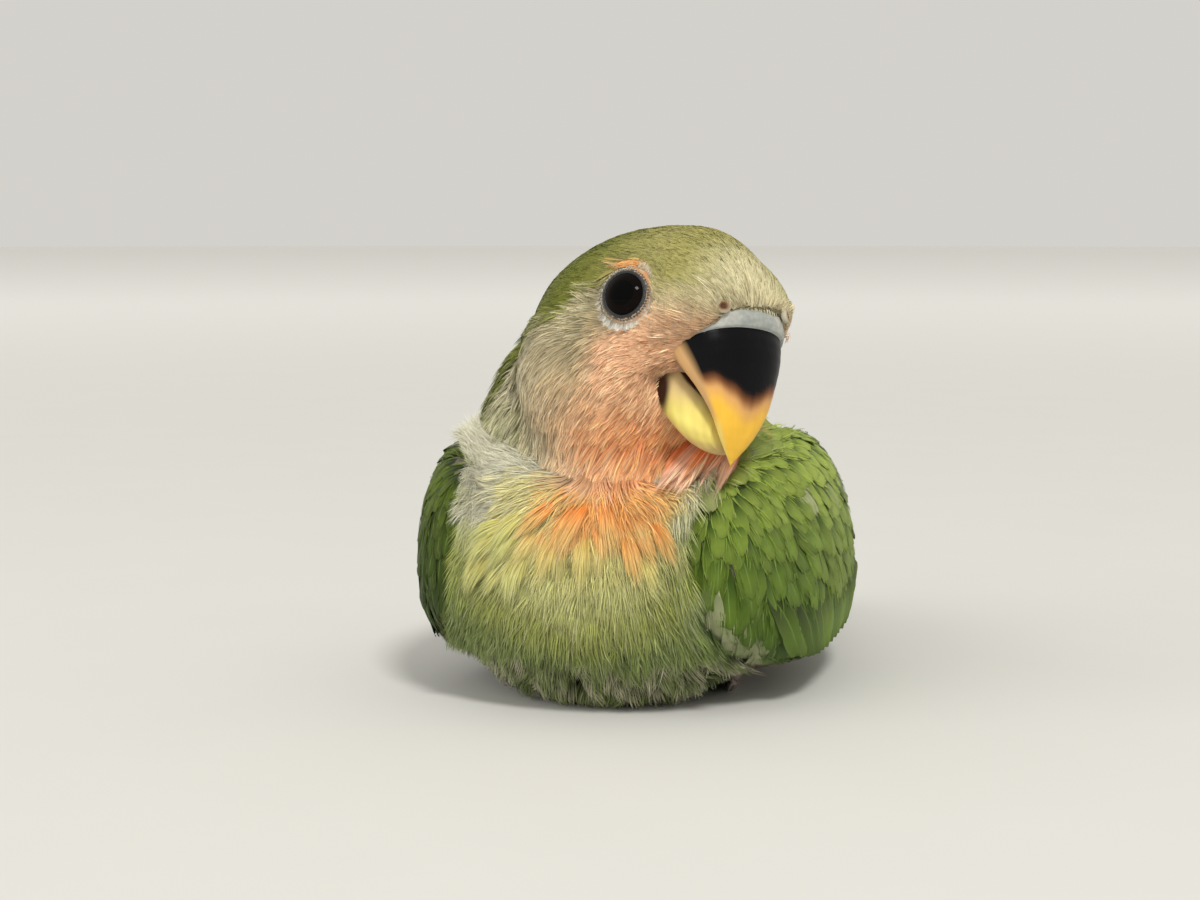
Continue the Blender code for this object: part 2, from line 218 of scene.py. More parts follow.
# Skin
# One closed skin under the coat, from crown to rump and out to the wings and thighs, in the feathers' root
# colours darkened as painted shade. Flesh and eyeballs are joined, smoothed and let in by the coat's depth.
FLESH =("head", "neck", "trunk", "wing_left", "wing_right", "leg_left", "leg_right")
EYES = ("eye_left", "eye_right")
SKIN_GROWTH = 0.27
EYE_GROWTH = 0.42
SKIN_VOXEL = 0.46
SKIN_SAMPLES = 9000
COAT_DEPTH = {
    "head": 0.5, "neck": 1.9, "trunk": 2.2, "wing_left": 1.1, "wing_right": 1.1, "leg_left": 0.8,
    "leg_right": 0.8, "eye_left": 0.0, "eye_right": 0.0,
}

HEAD_AT = np.array([10.5, -23.6, 43.0])
HEAD_TURN = Euler((math.radians(3), math.radians(8), math.radians(60)))
HEAD_AXES = np.array(HEAD_TURN.to_matrix())
EYE_AT = np.array([9.2, -1.4, 3.8])
EYE_AXIS = np.array([0.93, -0.33, 0.17])
EYE_RADIUS = 3.6
EYE_OPENING = math.radians(43)
LID_END = math.radians(66)
BREAST_FAN = np.array([3.0, -29.5, 30.5])
SHOULDER = np.array([14.0, -27.0, 34.0])
BILL_BASE = (0, -10, -3)
FOREHEAD_FRONT = (0, -11, 3)
# Hollows on both sides of the head, as sizes off its three middle planes.
GAPE_HOLLOW = (6.2, 4.4, 4.4)
LORES_HOLLOW = (7.3, 5.3, 1.4)


def unit(vectors):
    return vectors / np.maximum(np.linalg.norm(vectors, axis=-1, keepdims=True), 1e-9)


def rise(values, low, high):
    """0 below low and 1 above high, smooth between; high may be the lower number."""
    share = np.clip((values - low) / (high - low), 0, 1)
    return share * share * (3 - 2 * share)


def hump(values, middle, width):
    return np.exp(-(((values - middle) / width) ** 2))


def blended(first, second, share):
    """First where share is 0 and second where it is 1; each may be one colour or one for every point."""
    first = np.asarray(first, float)
    return first + (np.asarray(second) - first) * np.asarray(share)[..., None]


def gap_to(points, place):
    """How far each point is from the place."""
    return np.linalg.norm(points - place, axis=-1)


def on_own_side(place, points):
    """The place for each point, mirrored for the points on the right."""
    return place * np.column_stack([np.sign(points[:, 0]), np.ones((len(points), 2))])


def head_view(points):
    """The points in the head's own frame: its left +X, its crown +Z, its bill -Y."""
    return (points - HEAD_AT) @ HEAD_AXES


def from_head(points):
    return points @ HEAD_AXES.T + HEAD_AT


def new_piece(name, points, face_groups, maps=None, tint=None, finish=None):
    """An object at the origin, from points in millimetres and arrays of faces, one for each size of face."""
    mesh = bpy.data.meshes.new(name)
    corners = np.concatenate([faces.ravel() for faces in face_groups]).astype(np.int32)
    sizes = np.concatenate([np.full(len(faces), faces.shape[1]) for faces in face_groups])
    starts = (np.cumsum(sizes) - sizes).astype(np.int32)
    mesh.vertices.add(len(points))
    mesh.vertices.foreach_set("co", (points * MM).astype(np.float32).ravel())
    mesh.loops.add(len(corners))
    mesh.loops.foreach_set("vertex_index", corners)
    mesh.polygons.add(len(sizes))
    mesh.polygons.foreach_set("loop_start", starts)
    for map_name, spots in (maps or {}).items():
        layer = mesh.uv_layers.new(name=map_name)
        layer.data.foreach_set("uv", spots[corners].astype(np.float32).ravel())
    if tint is not None:
        layer = mesh.color_attributes.new("tint", "FLOAT_COLOR", "POINT")
        opaque = np.column_stack([tint, np.ones(len(tint))])
        layer.data.foreach_set("color", opaque.astype(np.float32).ravel())
    mesh.update(calc_edges=True)
    mesh.shade_smooth()
    if finish:
        mesh.materials.append(finish.material)
    piece = bpy.data.objects.new(name, mesh)
    bpy.context.collection.objects.link(piece)
    return piece


def node_shape(node, growth):
    """The corners of a solid, merged and moved outwards, in millimetres, with its triangles."""
    shape = bmesh.new()
    shape.from_mesh(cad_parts[node].data)
    bmesh.ops.remove_doubles(shape, verts=shape.verts, dist=1e-6)
    bmesh.ops.triangulate(shape, faces=shape.faces)
    shape.normal_update()
    points = np.array([v.co / MM + v.normal * growth for v in shape.verts])
    faces = np.array([[v.index for v in face.verts] for face in shape.faces])
    shape.free()
    return points, faces


def remeshed(points, faces, voxel):
    """One closed skin round everything given, in even four-sided faces."""
    source = new_piece("cast", points, [faces])
    remesh = source.modifiers.new("remesh", "REMESH")
    remesh.mode = "VOXEL"
    remesh.voxel_size = voxel * MM
    mesh = bpy.data.meshes.new_from_object(source.evaluated_get(bpy.context.evaluated_depsgraph_get()))
    spots = np.empty(len(mesh.vertices) * 3, np.float32)
    mesh.vertices.foreach_get("co", spots)
    corners = np.empty(len(mesh.loops), np.int32)
    mesh.loops.foreach_get("vertex_index", corners)
    old = source.data
    bpy.data.objects.remove(source)
    bpy.data.meshes.remove(old)
    bpy.data.meshes.remove(mesh)
    return spots.reshape(-1, 3) / MM, corners.reshape(-1, 4)


def edges_of(quads):
    pairs = np.sort(np.concatenate([quads[:, [k, (k + 1) % 4]] for k in range(4)]), axis=1)
    return np.unique(pairs, axis=0)


def largest_island(points, quads):
    """Leaves out any small closed surface inside the big one."""
    mark = np.arange(len(points))
    edges = edges_of(quads)
    while True:
        low = np.minimum(mark[edges[:, 0]], mark[edges[:, 1]])
        before = mark.copy()
        np.minimum.at(mark, edges[:, 0], low)
        np.minimum.at(mark, edges[:, 1], low)
        mark = mark[mark]
        if (mark == before).all():
            break
    keep = mark == np.bincount(mark).argmax()
    renumber = np.cumsum(keep) - 1
    return points[keep], renumber[quads[keep[quads[:, 0]]]]


def spread(values, edges, rounds, share=0.5):
    """Values at the corners, each drawn towards the mean of its neighbours."""
    values = np.array(values, float)
    count = len(values)
    flat = values.reshape(count, -1)
    ends = np.concatenate([edges[:, 0], edges[:, 1]])
    others = np.concatenate([edges[:, 1], edges[:, 0]])
    degree = np.bincount(ends, minlength=count)
    share = np.broadcast_to(np.asarray(share, float), (count,))
    for _ in range(rounds):
        for column in range(flat.shape[1]):
            mean = np.bincount(ends, flat[others, column], count) / degree
            flat[:, column] += (mean - flat[:, column]) * share
    return flat.reshape(values.shape)


def normals_of(points, quads):
    across = points[quads[:, 2]] - points[quads[:, 0]]
    along = points[quads[:, 3]] - points[quads[:, 1]]
    facing = np.cross(across, along)
    total = np.zeros_like(points)
    for k in range(4):
        for axis in range(3):
            total[:, axis] += np.bincount(quads[:, k], facing[:, axis], len(points))
    return unit(total)


def tree_of(points):
    tree = KDTree(len(points))
    for number, point in enumerate(points):
        tree.insert(point, number)
    tree.balance()
    return tree


def nearest(tree, points):
    find = tree.find
    return np.array([find(point)[1] for point in points])


def close_samples(points, faces, count, dice):
    """Points spread evenly over triangles."""
    a, b, c = (points[faces[:, k]] for k in range(3))
    area = np.linalg.norm(np.cross(b - a, c - a), axis=1)
    pick = dice.choice(len(faces), count, p=area / area.sum())
    s, t = dice.random((2, count, 1))
    fold = s + t > 1
    s, t = np.where(fold, 1 - s, s), np.where(fold, 1 - t, t)
    return a[pick] + (b[pick] - a[pick]) * s + (c[pick] - a[pick]) * t


RUFF_EDGE_Y = (-9, -4, 0, 4, 11, 17, 24, 30)
RUFF_EDGE_Z = (-14.5, -16.5, -17.8, -17.6, -16.0, -15.0, -14.0, -12.0)


def above_ruff(points):
    """1 on the head and upper neck, where the face's feathers grow, falling to 0 below the ruff's edge."""
    y, z = head_view(points)[:, 1:].T
    return rise(z - np.interp(y, RUFF_EDGE_Y, RUFF_EDGE_Z), -0.6, 0.8)


def eye_places():
    """Each eye's node, its centre and the way it looks, in the solids' frame."""
    for side, node in zip((1, -1), EYES):
        mirror = np.array([side, 1, 1])
        yield node, from_head(EYE_AT * mirror), unit(EYE_AXIS * mirror) @ HEAD_AXES.T


def grown_together():
    """The flesh and eyeballs under one even surface, with the number of the solid nearest to each corner."""
    dice = np.random.default_rng(11)
    shells, labels, samples = [], [], []
    offset = 0
    for number, node in enumerate(FLESH + EYES):
        points, faces = node_shape(node, SKIN_GROWTH if node in FLESH else EYE_GROWTH)
        shells.append((points, faces + offset))
        offset += len(points)
        samples.append(close_samples(points, faces, SKIN_SAMPLES, dice))
        labels.append(np.full(SKIN_SAMPLES, number))
    points = np.concatenate([shell_points for shell_points, _ in shells])
    faces = np.concatenate([shell_faces for _, shell_faces in shells])
    points, quads = largest_island(*remeshed(points, faces, SKIN_VOXEL))
    label = np.concatenate(labels)[nearest(tree_of(np.concatenate(samples)), points)]
    return points, quads, label


def head_swell(points, local):
    """How much the head's skin swells out under its coat: more over the crown, less at the lores and gape."""
    x, y, z = local.T
    folded = np.abs(local)
    from_eyes = np.min([gap_to(points, centre) for _, centre, _ in eye_places()], axis=0)
    swell = 0.7 * rise(z, -2, 6) + 0.5 * rise(y, 2, 9) * rise(z, -17, -11)
    swell *= rise(from_eyes, 4.4, 8.0) * rise(gap_to(local, FOREHEAD_FRONT), 4.0, 9.0)
    swell -= 1.2 * rise(x, 0, 5) * rise(y, 4, -3) * rise(z, -3, 2)
    swell -= 1.4 * rise(gap_to(folded, GAPE_HOLLOW), 3.4, 1.2) * (z < 0)
    return swell - 1.1 * rise(gap_to(folded, LORES_HOLLOW), 3.2, 1.2) * (y < 0) * (z > -1.5)


def coat_depth(points, local, label, near_bill):
    """How far the skin lies inside the solids: less by the bill, at the tail's end and near the floor."""
    on_neck = label == FLESH.index("neck")
    neck_swell = 1.3 * above_ruff(points) * rise(local[:, 1], 16, 10)
    swell = np.where(on_neck, neck_swell, head_swell(points, local))
    depth = np.array([COAT_DEPTH[node] for node in FLESH + EYES])[label]
    depth = depth * (1 - 0.6 * near_bill)
    depth = depth - swell * (on_neck | (label == FLESH.index("head")))
    depth = depth * (1 - 0.7 * rise(points[:, 1], 24, 38))
    return depth * (0.25 + 0.75 * rise(points[:, 2], 0.3, 5.0))


def make_skin_shape():
    points, quads, label = grown_together()
    edges = edges_of(quads)
    local = head_view(points)
    near_bill = rise(gap_to(local, BILL_BASE), 10.8, 7.5)
    softness = 0.5 - 0.35 * near_bill
    points = spread(points, edges, 8, softness)
    depth = spread(coat_depth(points, local, label, near_bill), edges, 14)
    points = points - normals_of(points, quads) * depth[:, None]
    points = spread(points, edges, 6, softness)

    # The crease between the head and what it rests on is filled, but nothing that stands out is worn down.
    head_share = spread((label == FLESH.index("head")).astype(float), edges, 45)
    crease = 1.4 + 2.4 * rise(local[:, 1], 13, 5)
    crease = crease * np.minimum(head_share, 1 - head_share) * (1 - near_bill)
    filled = spread(points, edges, 100, 0.6 * np.minimum(crease, 1))
    outwards = ((filled - points) * normals_of(points, quads)).sum(axis=1)
    points = blended(points, filled, spread(rise(outwards, -0.25, 0.15), edges, 8))
    points = spread(points, edges, 4, softness)
    for _, centre, axis in eye_places():
        points = round_the_eye(points, centre, axis)
    points[:, 2] = np.maximum(points[:, 2], 0.35)
    return points, quads, edges, label


def round_the_eye(points, centre, axis):
    """Draws the skin over the eyeball as lids, and behind it inside their opening."""
    offset = points - centre
    reach = np.linalg.norm(offset, axis=1)
    angle = np.arccos(np.clip(offset @ axis / np.maximum(reach, 1e-6), -1, 1))
    inside = rise(angle, EYE_OPENING + 0.05, EYE_OPENING - 0.06)
    lid = rise(angle, LID_END + 0.12, LID_END - 0.25) * (reach < EYE_RADIUS + 2.2) * (reach > 1.5)
    wanted = EYE_RADIUS + 0.16 - 1.0 * inside
    moved = centre + offset / reach[:, None] * (reach + (wanted - reach) * lid)[:, None]
    return np.where((lid > 0)[:, None], moved, points)


SKIN_POINTS, SKIN_QUADS, SKIN_EDGES, SKIN_LABEL = make_skin_shape()
SKIN_NORMALS = normals_of(SKIN_POINTS, SKIN_QUADS)
SKIN_TREE = tree_of(SKIN_POINTS)


def share_of(*nodes):
    """How far each corner of the skin belongs to the given nodes, softened across their borders."""
    numbers = [(FLESH + EYES).index(node) for node in nodes]
    return spread(np.isin(SKIN_LABEL, numbers).astype(float), SKIN_EDGES, 10)


ON_HEAD = share_of("head", "eye_left", "eye_right")
ON_NECK = share_of("neck")
ON_WING = share_of("wing_left", "wing_right")
ON_LEG = share_of("leg_left", "leg_right")

# Markings
# The coat's colours where each feather grows, one at its root and one at its tip, worked out from its place.
# The head's are found in the head's own frame, so the hidden side has the same face as the one that shows.
CROWN = (0.32, 0.295, 0.095)
CROWN_BACK = (0.125, 0.14, 0.012)
FOREHEAD = (0.62, 0.57, 0.35)
LORES = (0.68, 0.41, 0.24)
CHEEK_BUFF = (0.35, 0.31, 0.175)
CHEEK_PEACH = (0.80, 0.46, 0.25)
CHEEK_ORANGE = (0.98, 0.36, 0.14)
GAPE_PEACH = (0.95, 0.50, 0.29)
CHIN_PINK = (0.93, 0.58, 0.40)
BROW_ORANGE = (0.88, 0.38, 0.13)
RUFF_GREEN = (0.28, 0.30, 0.09)
DOWN_GREY = (0.56, 0.545, 0.42)
BIB_ORANGE = (0.85, 0.28, 0.05)
BIB_YELLOW = (0.66, 0.60, 0.23)
BREAST_GREEN = (0.36, 0.38, 0.10)
BREAST_PALE = (0.49, 0.49, 0.20)
FAN_GREEN = (0.25, 0.285, 0.065)
BELLY_GREEN = (0.20, 0.265, 0.07)
BELLY_GREY = (0.50, 0.46, 0.33)
BELLY_DARK = (0.06, 0.08, 0.02)
PALE_BARB = (0.82, 0.77, 0.60)
WING_GREEN = (0.075, 0.14, 0.013)
WING_LIGHT = (0.39, 0.50, 0.085)
# WING_DARK is the wing feathers' darker base, also painted shade where it shows between them.
WING_DARK = (0.05, 0.095, 0.012)
WING_RIM = (0.52, 0.54, 0.32)
WING_GREY = (0.11, 0.12, 0.10)
WING_PALE_SPOTS = ((24.4, -9.4, 25.5), (22.7, -17.7, 26.9), (21.2, -20.8, 7.4))
RUMP_BLUE = (0.08, 0.29, 0.36)
GAPE_AT = np.array([-6.5, -3.0])
CROWN_EDGE_Y = (-12, -9, -5.5, -1.4, 1.4, 2.8, 6.2, 10.5, 16.0, 18.3, 21, 24.3, 28)
CROWN_EDGE_Z = (4.4, 4.6, 5.2, 7.8, 5.4, 2.0, 0.7, -0.3, -2.4, -6.6, -9.0, -12.5, -15)
WING_RIM_ENDS = np.array([[14.3, -31.0, 16.5], [22.0, -20.0, 6.0]])
THROAT_AT = np.array([14.0, -26.5, 29.5])


def head_colours(points):
    """Root and tip colours of the head's feathers."""
    local = head_view(points)
    y, z = local[:, 1], local[:, 2]
    down_angle = np.degrees(np.arctan2(y - GAPE_AT[0], GAPE_AT[1] - z))
    reach = np.hypot(y - GAPE_AT[0], z - GAPE_AT[1])
    colour = blended(CHEEK_BUFF, CHEEK_PEACH, hump(down_angle, 40, 42) * rise(reach, 23, 7) * 0.95)
    hot = hump(down_angle, 28, 19) * rise(reach, 22, 9) * rise(reach, 0.5, 3)
    colour = blended(colour, CHEEK_ORANGE, hot)
    colour = blended(colour, CHIN_PINK, rise(down_angle, 14, 0) * (z < 0))
    colour = blended(colour, LORES, rise(z, -5, 0.5) * rise(y, 2, -5) * 0.9)
    colour = blended(colour, GAPE_PEACH, rise(reach, 8.0, 3.5) * rise(z, 1.0, -1.0) * 0.8)
    colour = blended(colour, FOREHEAD, rise(z, 1.5, 4.5) * rise(y, -4, -7) * 0.7)
    ruff = rise(y, 9, 16) * rise(z, -5, -12)
    colour = blended(colour, RUFF_GREEN, ruff * 0.7)
    crown = blended(CROWN, CROWN_BACK, rise(y, -3, 8))
    crown = blended(crown, FOREHEAD, rise(gap_to(local, (0, -12.0, 3.6)), 11.0, 4.5))
    edge = np.interp(y, CROWN_EDGE_Y, CROWN_EDGE_Z)
    soft = 0.6 + 1.6 * rise(y, -1, -7)
    colour = blended(colour, crown, rise((z - edge) / soft, -1.0, 1.0))
    eye = np.hypot(y - EYE_AT[1], z - EYE_AT[2])
    turn = np.degrees(np.arctan2(-(y - EYE_AT[1]), z - EYE_AT[2]))
    on_side = np.abs(local[:, 0]) > 5
    brow = hump(eye, 3.9, 0.55) * hump(turn, 30, 36) * on_side
    colour = blended(colour, BROW_ORANGE, np.minimum(brow * 1.3, 1))
    tip = np.minimum(colour * 1.22, 0.95)
    tip = blended(tip, PALE_BARB, rise(reach, 8, 20) * rise(z - edge, 1, -1) * 0.35)
    return colour * 0.88, tip


def body_colours(points):
    """Root and tip colours of the neck, breast, belly, back and rump."""
    x, y, z = points.T
    green = rise(z, 24.5, 22)
    root = blended(DOWN_GREY, BREAST_GREEN, green)
    tip = blended(DOWN_GREY, BREAST_PALE, green)
    bib = np.hypot((x - 4.2) / 5.6, (z - 26.0) / 3.4)
    root = blended(root, BIB_ORANGE, rise(bib, 1.15, 0.75))
    tip = blended(tip, BIB_YELLOW, rise(np.hypot((x - 1.5) / 10.5, (z - 25.0) / 6.0), 1.1, 0.6))
    tip = blended(tip, BIB_ORANGE, rise(bib, 0.8, 0.4) * 0.6)
    fan_edge = np.hypot((x - 2.5) / np.where(x < 2.5, 19.5, 13.5), (z - 27.0) / 15.0)
    # Painted shade: the roots below and beside the breast's fan are nearly black, for the shade under the
    # belly.
    root = blended(root, BELLY_DARK, rise(fan_edge, 0.85, 1.1))
    tip = blended(tip, FAN_GREEN, rise(fan_edge, 0.55, 0.85))
    tip = blended(tip, BELLY_GREEN, rise(fan_edge, 0.85, 1.1))
    behind = rise(y, -23, -17)
    # Painted shade: roots behind the breast take WING_DARK, the dark feather base and the shade between
    # feathers.
    root = blended(root, WING_DARK, behind * rise(z, 6, 12))
    tip = blended(tip, BELLY_GREEN, behind)
    back = rise(y, -24, -14) * rise(z, 16, 24)
    tip = blended(tip, np.array(WING_LIGHT) * 0.85, back)
    rump = rise(y, 10, 20) * rise(z, 8, 14)
    root = blended(root, np.array(RUMP_BLUE) * 0.5, rump)
    tip = blended(tip, RUMP_BLUE, rump)
    return root, tip


def wing_colours(points):
    """Root and tip colours of the wings, the same on both, with a pale lower rim and a few pale spots."""
    x, y, z = points.T
    # Painted light: the tips are lighter green higher up the wing and further back, where the light falls,
    # and darker low down.
    light = rise(z, 12, 26) * 0.30 + rise(z, 22, 32) * 0.70 + 0.3 * rise(y, -22, -10) * rise(z, 10, 18)
    tip = blended(WING_GREEN, WING_LIGHT, np.minimum(light, 1.0))
    folded = np.column_stack([np.abs(x), y, z])
    start, end = WING_RIM_ENDS
    share = np.clip((folded - start) @ (end - start) / ((end - start) @ (end - start)), 0, 1)
    from_rim = np.linalg.norm(folded - start - share[:, None] * (end - start), axis=1)
    pale = rise(from_rim, 2.9, 1.2)
    for spot in WING_PALE_SPOTS:
        pale = np.maximum(pale, rise(gap_to(folded, spot), 1.9, 0.9))
    tip = blended(tip, WING_GREY, rise(y, -5, -1) * rise(y, 12, 5) * rise(z, 24, 26) * 0.8)
    # The roots take WING_DARK: the feathers' darker base, and painted shade where it shows between them.
    return blended(WING_DARK, WING_RIM, pale * 0.5), blended(tip, WING_RIM, pale * 0.7)


def make_markings():
    """Root and tip colours at each corner of the skin."""
    makers = (head_colours, body_colours, wing_colours)
    made = []
    for on_head, on_body, on_wing in zip(*(maker(SKIN_POINTS) for maker in makers)):
        colour = blended(on_body, on_wing, rise(ON_WING, 0.35, 0.65))
        made.append(blended(colour, on_head, FACE_GROWTH))
    return made


def make_flow():
    """The way the feathers lie at each corner of the skin."""
    local = head_view(SKIN_POINTS)
    from_bill = unit(local - (0, -13.0, 1.0))
    droop = rise(local[:, 2], 2.0, -9.0) * rise(local[:, 1], -9, -1)
    from_bill = from_bill + np.array([0, 0.1, -1.0]) * (droop * 1.15)[:, None]
    head = unit(from_bill) @ HEAD_AXES.T
    head = blended(head, (-0.12, -0.25, -1.0), rise(SKIN_POINTS[:, 2], 36, 29) * 0.6)
    chin = rise(gap_to(SKIN_POINTS, THROAT_AT), 8.0, 4.5)
    head = blended(unit(head), (-0.50, -0.22, -0.84), chin * 0.9)
    fan = SKIN_POINTS - BREAST_FAN
    fan[:, 2] = np.minimum(fan[:, 2], -4.5)
    fan = unit(fan)
    back = unit(on_own_side((0.12, 1.0, -0.22), SKIN_POINTS))
    body = blended(fan, back, rise(SKIN_POINTS[:, 1], -27, -12))
    body = blended(body, unit(np.array([0.0, 0.8, -0.6])), rise(SKIN_POINTS[:, 2], 10, 3) * 0.6)
    wing = unit(SKIN_POINTS - on_own_side(SHOULDER, SKIN_POINTS))
    flow = blended(body, wing, rise(ON_WING, 0.3, 0.7))
    flow = blended(flow, head, FACE_GROWTH)
    flow = spread(unit(flow), SKIN_EDGES, 6)
    return unit(flow - SKIN_NORMALS * (flow * SKIN_NORMALS).sum(axis=1, keepdims=True))


def over_wing(points):
    """1 on top of the left shoulder, under the turned head, where no face feathers grow."""
    x, y, z = points.T
    return rise(x, 11.5, 14.0) * rise(z, 35.5, 33) * rise(y, -26, -23)


OVER_WING = over_wing(SKIN_POINTS)
FACE_GROWTH = rise(ON_WING, 0.5, 0.3) * above_ruff(SKIN_POINTS) * rise(ON_HEAD + ON_NECK, 0.1, 0.4)
FACE_GROWTH *= 1 - OVER_WING
ROOT_TINT, TIP_TINT = make_markings()
SKIN_FLOW = make_flow()


def skin_finish():
    finish = Finish("skin_under_feathers", Roughness=0.75, Subsurface_Weight=0.0, Specular_IOR_Level=0.25)
    pores = finish.node("TexVoronoi", None, {"Vector": finish.place(), "Scale": 2200.0})
    finish.set(Base_Color=finish.mix(finish.noise(900.0) * 0.4, finish.tint(), (0.30, 0.25, 0.19)))
    finish.bump(pores.rise(0.0, 0.5), 0.00006)
    return finish


def make_skin():
    # Painted shade: the skin takes the feathers' root colours at half to 0.85 of their brightness, mixed with
    # brown.
    shaded = ROOT_TINT * (0.5 + 0.35 * FACE_GROWTH)[:, None]
    tint = blended(shaded, (0.16, 0.13, 0.10), 0.35 - 0.15 * FACE_GROWTH)
    piece = new_piece("skin", SKIN_POINTS, [SKIN_QUADS], tint=tint, finish=skin_finish())
    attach(piece, "root")
    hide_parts(*FLESH)


make_skin()

# Eyes
# Two wet, nearly black eyeballs with a dim dark brown iris, set in the head as deep as the species has them.
# A grey bare lid ring lies over each, with four rows of small pale papillae round it.
EYE_RINGS = 40
EYE_SEGMENTS = 64
LID_SEGMENTS = 96
# Each row is an angle off the eye's axis and a distance from its centre.
LID_PROFILE = (
    (0.70, 3.44), (0.735, 3.66), (0.76, 3.78), (0.80, 3.83), (0.85, 3.79), (0.89, 3.84), (0.95, 3.80),
    (1.00, 3.83), (1.08, 3.74), (1.18, 3.60), (1.26, 3.40),
)
PAPILLAE = 52
PAPILLA_ROWS = 4


def square_axes(axis):
    """Two directions at right angles to the axis and to each other, the first one level."""
    first = unit(np.cross((0, 0, 1.0), axis))
    return first, np.cross(axis, first)


def spokes(axis, turn):
    """Directions at right angles to the axis, one for each turn about it."""
    first, second = square_axes(axis)
    return np.outer(np.cos(turn), first) + np.outer(np.sin(turn), second)


def off_axis(axis, level, angle):
    """Directions at an angle off the axis towards the level ones."""
    return np.cos(angle)[:, None] * axis + np.sin(angle)[:, None] * level


def turned_shape(centre, axis, profile, segments, oval_share=0.0):
    """Points of a surface turned about the axis, from rows of angle off it and distance from the centre."""
    turn = np.linspace(0, 2 * math.pi, segments, endpoint=False)
    level = spokes(axis, turn)
    rings = []
    for angle, reach in profile:
        wide = angle * (1 - oval_share * np.abs(np.cos(turn)))
        rings.append(centre + reach * off_axis(axis, level, wide))
    return np.concatenate(rings)


def tube_faces(rings, segments):
    """Faces between rings of points that follow each other."""
    ring, step = np.meshgrid(np.arange(rings - 1), np.arange(segments), indexing="ij")
    low, step = ring.ravel() * segments, step.ravel()
    high, after = low + segments, (step + 1) % segments
    return np.column_stack([low + step, high + step, high + after, low + after])


def closed_faces(rings, segments):
    """The faces of a tube whose ends are both shut."""
    first = np.array([np.arange(segments)])
    return [tube_faces(rings, segments), first, first[:, ::-1] + (rings - 1) * segments]


def ring_numbers(rings, segments):
    """The number of each point's ring and its turn round the ring."""
    turn = np.tile(np.arange(segments) * 2 * math.pi / segments, rings)
    return np.repeat(np.arange(rings), segments), turn


def eye_finish(name, axis, centre):
    """The iris is a ring about the eye's own axis."""
    finish = Finish(name, Roughness=0.02, Specular_IOR_Level=0.035)
    place = finish.node("VectorMath", {"operation": "SUBTRACT"}, {0: finish.place(), 1: tuple(centre * MM)})
    along = finish.node("VectorMath", {"operation": "DOT_PRODUCT"}, {0: place, 1: tuple(axis)}, output=1)
    below_front = 1 - along * (1 / (EYE_RADIUS * MM))
    ring = below_front.rise(0.055, 0.085) * below_front.rise(0.235, 0.20)
    iris = finish.mix(finish.noise(2600.0), (0.006, 0.004, 0.003), (0.003, 0.002, 0.002))
    finish.set(Base_Color=finish.mix(ring, (0.002, 0.002, 0.002), iris))
    return finish


def lid_finish():
    finish = Finish("eyelid_skin", Roughness=0.55, Specular_IOR_Level=0.4)
    folds = finish.node("TexVoronoi", None, {"Vector": finish.place(), "Scale": 3600.0})
    finish.set(Base_Color=finish.mottled(finish.tint(), folds, 0.72, 1.12))
    finish.bump(folds, 0.00008)
    return finish


def ball_rows():
    """Angle and reach rows of the eyeball, with the clear front bulging a little."""
    rows = []
    for share in np.linspace(0.0008, 0.9992, EYE_RINGS):
        angle = share * math.pi
        rows.append((angle, EYE_RADIUS - 0.06 + 0.14 * max(math.cos(angle), 0.0) ** 3))
    return rows


def make_eyes():
    lid = lid_finish()
    for node, centre, axis in eye_places():
        points = turned_shape(centre, axis, ball_rows(), EYE_SEGMENTS)
        groups = closed_faces(EYE_RINGS, EYE_SEGMENTS)
        ball = new_piece(f"{node}_ball", points, groups, finish=eye_finish(f"{node}_wet", axis, centre))
        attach(ball, "root")
        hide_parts(node)

        profile = [(angle, reach - 0.06) for angle, reach in LID_PROFILE]
        points = turned_shape(centre, axis, profile, LID_SEGMENTS, oval_share=0.06)
        faces = tube_faces(len(profile), LID_SEGMENTS)
        row, turn = ring_numbers(len(profile), LID_SEGMENTS)
        ripple = np.sin(turn * 41 + row * 1.3) * 0.035 * (row > 2)
        points = points + unit(points - centre) * ripple[:, None]
        tint = blended((0.02, 0.02, 0.02), (0.11, 0.11, 0.10), rise(row, 2, 6))
        tint = blended(tint, (0.50, 0.46, 0.37), rise(row, 6, 8))
        ring = new_piece(f"{node}_lids", points, [faces], tint=tint, finish=lid)
        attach(ring, "root")


